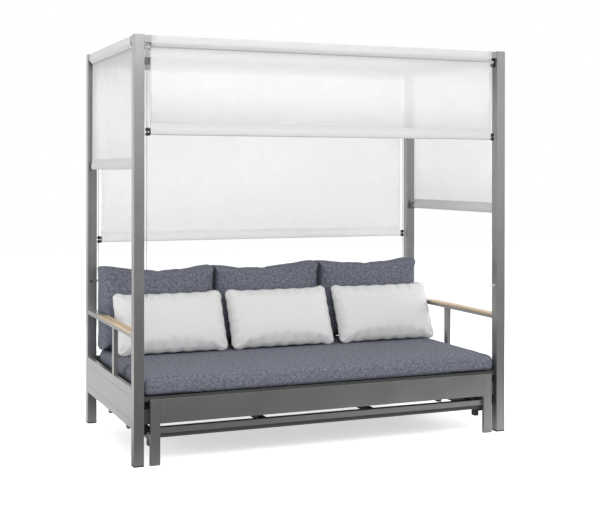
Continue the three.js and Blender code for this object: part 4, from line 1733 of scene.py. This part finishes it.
class SewnBlock:
    """A sewn block of cloth in its own axes: X wide, Y long and Z towards its face.

    Attributes:
        unit: Every point's place on the unit block, from -1 to 1.
        points: Every point's place in metres.
        faces: Each face's point numbers.
        sides: The axis that each face's side lies across.
    """

    def __init__(self, steps: tuple[int, int, int]) -> None:
        """Lays an even grid on the six sides of a block.

        Args:
            steps: The faces along X, Y and Z.
        """
        self.steps = steps
        self.index: dict[tuple[int, int, int], int] = {}
        self.faces: list[list[int]] = []
        self.sides: list[int] = []
        for axis in range(3):
            first, second = [other for other in range(3) if other != axis]
            for end in (0, steps[axis]):
                for i in range(steps[first]):
                    for j in range(steps[second]):
                        corners = []
                        for di, dj in ((0, 0), (1, 0), (1, 1), (0, 1)):
                            key = [end, end, end]
                            key[first], key[second] = i + di, j + dj
                            corners.append(self.index.setdefault(tuple(key), len(self.index)))
                        if (end > 0) == (axis == 1):
                            corners.reverse()
                        self.faces.append(corners)
                        self.sides.append(axis)
        self.unit = 2 * np.array(list(self.index)) / np.array(steps) - 1
        self.points = self.unit.copy()

    def round_off(self, half: Sequence[float], radii: Point) -> None:
        """Shapes the grid as a block with rounded edges.

        Args:
            half: Half the block's size.
            radii: How far its rounding reaches in along each axis.
        """
        ends, reach = np.array(half), np.array(radii)
        flat = self.unit * ends
        core = np.clip(flat, reach - ends, ends - reach)
        way = (flat - core) / reach
        far = np.maximum(np.linalg.norm(way, axis=1, keepdims=True), 1.0)
        self.points = core + reach * way / far

    def twin(self, mirrored: bool) -> "SewnBlock":
        """A copy of the form, mirrored across X if asked for."""
        made = SewnBlock(self.steps)
        made.points = self.points.copy()
        if mirrored:
            made.points[:, 0] *= -1
            made.faces = [list(reversed(face)) for face in made.faces]
        return made

    def straighten(self, half: float, share: float) -> None:
        """Widens each level across Y towards the full width.

        Args:
            half: Half the full width.
            share: How much of the missing width comes back.
        """
        for level in np.unique(self.unit[:, 1]):
            row = self.unit[:, 1] == level
            widest = np.abs(self.points[row, 0]).max()
            self.points[row, 0] *= 1 + share * (half / widest - 1)

    def rest(self, depth: float, share: float = 0.15) -> None:
        """Presses the lowest part of the form flatter, down to its lowest point.

        Args:
            depth: The height of the part that is pressed.
            share: How much of that height stays.
        """
        z = self.points[:, 2]
        floor = z.min()
        self.points[:, 2] = np.where(z < floor + depth, floor + (z - floor) * share, z)

    def settle(self, low: np.ndarray, high: np.ndarray) -> None:
        """Takes the form to a box's middle and sets it on the box's floor."""
        self.points += (low + high) / 2
        self.points[:, 2] += low[2] - self.points[:, 2].min()

    def loop(self, level: int) -> np.ndarray:
        """The point numbers round the rim at one level of Z, in order."""
        wide, long, _ = self.steps
        keys = [(i, 0, level) for i in range(wide)]
        keys += [(wide, j, level) for j in range(long)]
        keys += [(i, long, level) for i in range(wide, 0, -1)]
        keys += [(0, j, level) for j in range(long, 0, -1)]
        return np.array([self.index[key] for key in keys])

    def corners(self, size: Point) -> np.ndarray:
        """The cloth map: each face corner's place on its flat panel, in metres."""
        flat = []
        for face, axis in zip(self.faces, self.sides):
            first, second = [other for other in range(3) if other != axis]
            for point in face:
                u = self.unit[point][first] * size[first] / 2
                v = self.unit[point][second] * size[second] / 2
                flat.append((u + axis * 0.37, v + axis * 0.61))
        return np.array(flat)

    def swell(self, stuffing: Stuffing) -> None:
        """Blows the block up as cloth and keeps the result.

        Args:
            stuffing: The pressure, cap and frames.
        """
        scene = bpy.context.scene
        helper = new_object("stuffing_form", self.points, self.faces, Look.BLUE)
        cloth = helper.modifiers.new("stuffing", "CLOTH")
        settings = cloth.settings
        settings.quality = 5
        settings.mass = 0.3
        settings.tension_stiffness = 15
        settings.compression_stiffness = 15
        settings.shear_stiffness = 5
        settings.bending_stiffness = stuffing.bend
        settings.use_pressure = True
        settings.uniform_pressure_force = stuffing.pressure
        settings.effector_weights.gravity = 0
        cloth.collision_settings.use_collision = False
        cloth.collision_settings.use_self_collision = False
        cloth.point_cache.frame_start = 1
        cloth.point_cache.frame_end = stuffing.frames
        for step in range(1, stuffing.frames + 1):
            scene.frame_set(step)
        result = helper.evaluated_get(bpy.context.evaluated_depsgraph_get()).data
        blown = np.empty(len(result.vertices) * 3)
        result.vertices.foreach_get("co", blown)
        moved = blown.reshape(-1, 3) - self.points
        far = np.linalg.norm(moved, axis=1, keepdims=True)
        self.points = self.points + moved * np.minimum(1, stuffing.cap / np.maximum(far, 1e-9))
        helper.modifiers.clear()
        bpy.data.objects.remove(helper, do_unlink=True)
        scene.frame_set(1)

    def fit(self, size: Point) -> None:
        """Scales the form so that it fills a box of this size about the origin."""
        low, high = self.points.min(axis=0), self.points.max(axis=0)
        self.points = (self.points - (low + high) / 2) / (high - low) * np.array(size)

    def cover(self, node: str, look: Look, slot: str, crease: dict[int, float], size: Point) -> None:
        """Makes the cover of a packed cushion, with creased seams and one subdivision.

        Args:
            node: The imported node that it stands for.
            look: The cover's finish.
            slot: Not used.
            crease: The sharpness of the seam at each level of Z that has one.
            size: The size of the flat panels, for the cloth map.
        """
        made = new_object(f"{node}_cover", self.points, self.faces, look, None)
        add_uv(made.data, self.corners(size))
        made.data.shade_smooth()
        sharp = {}
        for level, amount in crease.items():
            rim = self.loop(level)
            for here, after in zip(rim, np.roll(rim, -1)):
                sharp[frozenset((int(here), int(after)))] = amount
        attribute = made.data.attributes.new("crease_edge", "FLOAT", "EDGE")
        values = [sharp.get(frozenset(edge.vertices), 0.0) for edge in made.data.edges]
        attribute.data.foreach_set("value", values)
        smooth = made.modifiers.new("smooth", "SUBSURF")
        smooth.levels = 1
        smooth.render_levels = 1
        belong(made, slot, "frame", node)
        self.made = made


def box_of(node: str) -> tuple[np.ndarray, np.ndarray, tuple[float, float, float]]:
    """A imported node's lowest corner, highest corner and size."""
    low, high = (np.array(corner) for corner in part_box(node))
    return low, high, tuple(high - low)


@dataclass
class SeatCushion:
    """One long seat cushion, flat below and softly rounded above."""

    cell: float = 14 * MM
    side_reach: float = 26 * MM
    top_reach: float = 38 * MM
    foot_reach: float = 16 * MM
    stuffing: Stuffing = Stuffing(2.0, 6 * MM, 12)

    def build(self) -> None:
        """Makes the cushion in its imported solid's place."""
        low, high, size = box_of("seat_cushion")
        half = (high - low) / 2
        block = SewnBlock(tuple(max(6, int(value / self.cell)) for value in size))
        block.round_off(half, (self.side_reach, self.side_reach, self.foot_reach))
        below = block.points.copy()
        block.round_off(half, (self.side_reach, self.side_reach, self.top_reach))
        block.points = np.where(block.unit[:, 2:] < 0, below, block.points)
        block.swell(self.stuffing)
        block.fit(size)
        block.rest(6 * MM)
        block.settle(low, high)
        block.cover("seat_cushion", Look.BLUE, "blue_weave", {block.steps[2]: 0.25, 0: 0.4}, size)


@dataclass
class BackCushion:
    """One back cushion: a boxed cover whose upper corners stand up.

    Attributes:
        label: Its place.
        turned: True if the shared form is mirrored for it.
        peaks: How far its top stands above the form, from its left to its right.
        closes: How far its rear reaches out at the left and at the right.
        widen: How much wider it is before it meets the cushions beside it.
        beyond: How much of that width stays past the wall.
        wall_gap: The wall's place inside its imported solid's side.
    """

    label: str
    turned: bool
    peaks: tuple[float, ...]
    closes: tuple[float, float]
    widen: float = 1.06
    beyond: float = 0.08
    wall_gap: float = 1 * MM

    def build(self, form: SewnBlock) -> None:
        """Makes the cushion from the shared blown-up form.

        Args:
            form: The form, which every back cushion starts from.
        """
        name = f"back_cushion_{self.label}"
        low, high, (width, depth, height) = box_of(name)
        block = form.twin(self.turned)
        block.fit((width, height, depth))
        block.straighten(float(width) / 2, 0.95)
        x, y, z = block.points.T.copy()
        wall = float(width) / 2 - self.wall_gap
        wide = np.abs(x) * self.widen
        x = np.sign(x) * (np.minimum(wide, wall) + self.beyond * np.maximum(wide - wall, 0))
        rear = np.clip(0.5 - z / depth * 3, 0, 1) * np.abs(x / width * 2) ** 6
        x = x + rear * np.where(x < 0, -self.closes[0], self.closes[1])
        share = np.clip((y / height + 0.5), 0, 1)
        along = np.clip(x / width + 0.5, 0, 1)
        y = y + share**3 * np.interp(along, np.linspace(0, 1, len(self.peaks)), self.peaks)
        block.points = np.stack([x, -z, y], axis=1)
        block.rest(10 * MM)
        block.settle(low, high)
        block.points[:, 1] += high[1] - block.points[:, 1].max()
        crease = {0: 0.4, block.steps[2]: 0.3}
        block.cover(name, Look.BLUE, "blue_weave", crease, (width, height, depth))


@dataclass
class Pillow:
    """One pillow of two panels, leaning on the back cushions."""

    label: str
    flipped: bool
    lean: float = 0.435
    ears: float = 8 * MM

    def build(self, form: SewnBlock) -> None:
        """Makes the pillow from the shared blown-up form.

        Args:
            form: The form, which every pillow starts from.
        """
        name = f"pillow_{self.label}"
        low, high, (width, _, _) = box_of(name)
        block = form.twin(self.flipped)
        size = (float(width) + self.ears, PILLOW_HEIGHT, PILLOW_DEPTH)
        block.fit(size)
        x, y, z = block.points.T.copy()
        sine, cosine = math.sin(self.lean), math.cos(self.lean)
        block.points = np.stack([x, y * sine - z * cosine, y * cosine + z * sine], axis=1)
        block.rest(2 * MM)
        block.points -= (block.points.min(axis=0) + block.points.max(axis=0)) / 2
        block.settle(low, high)
        block.cover(name, Look.PALE, "pale_weave", {block.steps[2] // 2: 0.8}, size)


def back_cushion_form() -> SewnBlock:
    """The blown-up form that the three back cushions share."""
    wide, deep, tall = box_of("back_cushion_left")[2]
    cell = 11 * MM
    block = SewnBlock((int(wide / cell), int(tall / cell), int(deep * 0.8 / cell)))
    half = (wide / 2, tall / 2, deep * 0.42)
    block.round_off(half, (7 * MM, 8 * MM, 12 * MM))
    behind = block.points.copy()
    block.round_off(half, (10 * MM, 12 * MM, 42 * MM))
    a, b, c = block.unit.T
    block.points = np.where(c[:, None] < 0, behind, block.points)
    front = np.maximum(c, 0)
    dome = (1 - np.abs(a) ** 3) * (1 - np.abs(b) ** 3)
    block.points[:, 0] -= 3 * MM * a * (1 - b * b)
    block.points[:, 1] -= 5 * MM * b * (1 - a * a)
    block.points[:, 2] += 0.09 * deep * dome * front
    block.points[:, 2] += puckers(a, b, half, 1.2 * MM) * front
    block.swell(Stuffing(3.0, 12 * MM))
    return block


def pillow_form() -> SewnBlock:
    """The blown-up form that the three pillows share."""
    half = (box_of("pillow_middle")[2][0] / 2, PILLOW_HEIGHT / 2, 3 * MM)
    cell = 9 * MM
    block = SewnBlock((int(2 * half[0] / cell), int(2 * half[1] / cell), 2))
    block.round_off(half, (52 * MM, 46 * MM, 3 * MM))
    a, b = block.points[:, 0] / half[0], block.points[:, 1] / half[1]
    c = block.unit[:, 2]
    dome = np.clip((1 - np.abs(a) ** 4.2) * (1 - np.abs(b) ** 2.7), 0, 1) ** 0.62
    block.points[:, 0] -= 8 * MM * a * (1 - np.abs(b) ** 5)
    block.points[:, 1] -= 11 * MM * b * (1 - np.abs(a) ** 9)
    block.points[:, 2] += c * (58 * MM * dome * (1 - 0.1 * b))
    block.points[:, 2] += puckers(a, b, half, 5 * MM) * c
    block.swell(Stuffing(4.0, 10 * MM, bend=0.2))
    block.points[:, 2] += (puckers(a, b, half, 2.5 * MM) + folds(a, b, half, 5 * MM)) * c
    rim = np.exp(-(1 - np.maximum(np.abs(a), np.abs(b))) * half[1] / (20 * MM))
    side_wave = np.sin(b * half[1] * 96 + 1.3) * np.abs(a) ** 9
    end_wave = np.sin(a * half[0] * 71 + 0.6 + 2 * b) * np.abs(b) ** 9
    block.points[:, 0] += rim * 1.6 * MM * side_wave
    block.points[:, 1] += rim * 2.2 * MM * end_wave
    return block


def folds(a: np.ndarray, b: np.ndarray, half: Sequence[float], depth: float) -> np.ndarray:
    """How far the soft folds that run in from a pillow's corners stand out.

    Args:
        a: Places across, from -1 to 1.
        b: Places up, from -1 to 1.
        half: Half the panel's width and height.
        depth: The height of the folds where they are deepest.

    Returns:
        The height of the folds at each place.
    """
    height = np.zeros_like(a)
    for across, up, phase in ((-1, -1, 0.3), (1, -1, 1.9), (1, 1, 3.1), (-1, 1, 4.4)):
        x, y = (1 - a * across) * half[0], (1 - b * up) * half[1]
        far = np.hypot(x, y)
        fade = np.exp(-far / (75 * MM)) * np.clip(far / (40 * MM), 0, 1)
        height += depth * fade * np.cos(np.arctan2(y, x) * 9 + phase + far * 14)
    return height


def puckers(a: np.ndarray, b: np.ndarray, half: Sequence[float], depth: float) -> np.ndarray:
    """How far the gathers along a seam stand out.

    Args:
        a: Places across, from -1 to 1.
        b: Places up, from -1 to 1.
        half: Half the panel's width and height.
        depth: The height of the gathers at the seam.

    Returns:
        The height of the gathers at each place.
    """
    reach = 26 * MM
    near_side = np.exp(-(1 - np.abs(a)) * half[0] / reach)
    near_end = np.exp(-(1 - np.abs(b)) * half[1] / reach)
    up = np.sin(b * half[1] * 118 + 2.6 * a) + 0.6 * np.sin(b * half[1] * 207 + 4.1)
    across = np.sin(a * half[0] * 92 + 1.9 * b) + 0.6 * np.sin(a * half[0] * 163 + 0.8)
    return depth * (near_side * up + near_end * across) * np.sin(math.pi / 2 * (1 - a**8))


def stitch_piece() -> bpy.types.Object:
    """One stitch of thread, lying along X."""
    profile = ((0, -2.2), (0.35, -1.76), (0.45, 0), (0.35, 1.76), (0, 2.2))
    draft = Draft()
    draft.turned([(radius * MM, along * MM) for radius, along in profile], (0, 0, 0), "x", 6)
    return draft.finished("thread_stitch", Look.THREAD_PALE)


def build_cushions() -> None:
    """Makes the seat cushion, the back cushions and the pillows."""
    SeatCushion().build()
    form = back_cushion_form()
    meet = 5 * MM
    for label, turned, peaks, closes in (
        ("left", False, (14 * MM, -4 * MM, -18 * MM, -12 * MM, 4 * MM), (3 * MM, meet)),
        ("middle", True, (0.0, -16 * MM, -17 * MM, -2 * MM, 12 * MM), (meet, meet)),
        ("right", False, (9 * MM, -3 * MM, -10 * MM, -2 * MM, 12 * MM), (2 * meet, 0.0)),
    ):
        BackCushion(label, turned, peaks, closes).build(form)
    form = pillow_form()
    for label, flipped in (("left", False), ("middle", True), ("right", False)):
        Pillow(label, flipped).build(form)


def main() -> None:
    """Builds the studio and then the daybed, from the soft pieces to the frame."""
    logging.basicConfig(level=logging.INFO, format="%(name)s: %(message)s")
    Viewpoint().build()
    Studio().build()
    stitch = stitch_piece()
    seam = Seam()
    build_cushions()
    blinds = [Blind(side, seam, stitch) for side in Side]
    for blind in blinds:
        blind.build()
    for blind in blinds:
        blind.declare()
    RoofCloth().build()
    row = Row()
    for deck in (FixedDeck(row), SlidingDeck(row)):
        deck.build()
    LowBars().build()
    ChannelNoses().build()
    ArmBoards().build()
    Fasteners().build(blinds)
    Metalwork().build()
    bpy.data.objects.remove(stitch, do_unlink=True)


if __name__ == "__main__":
    main()
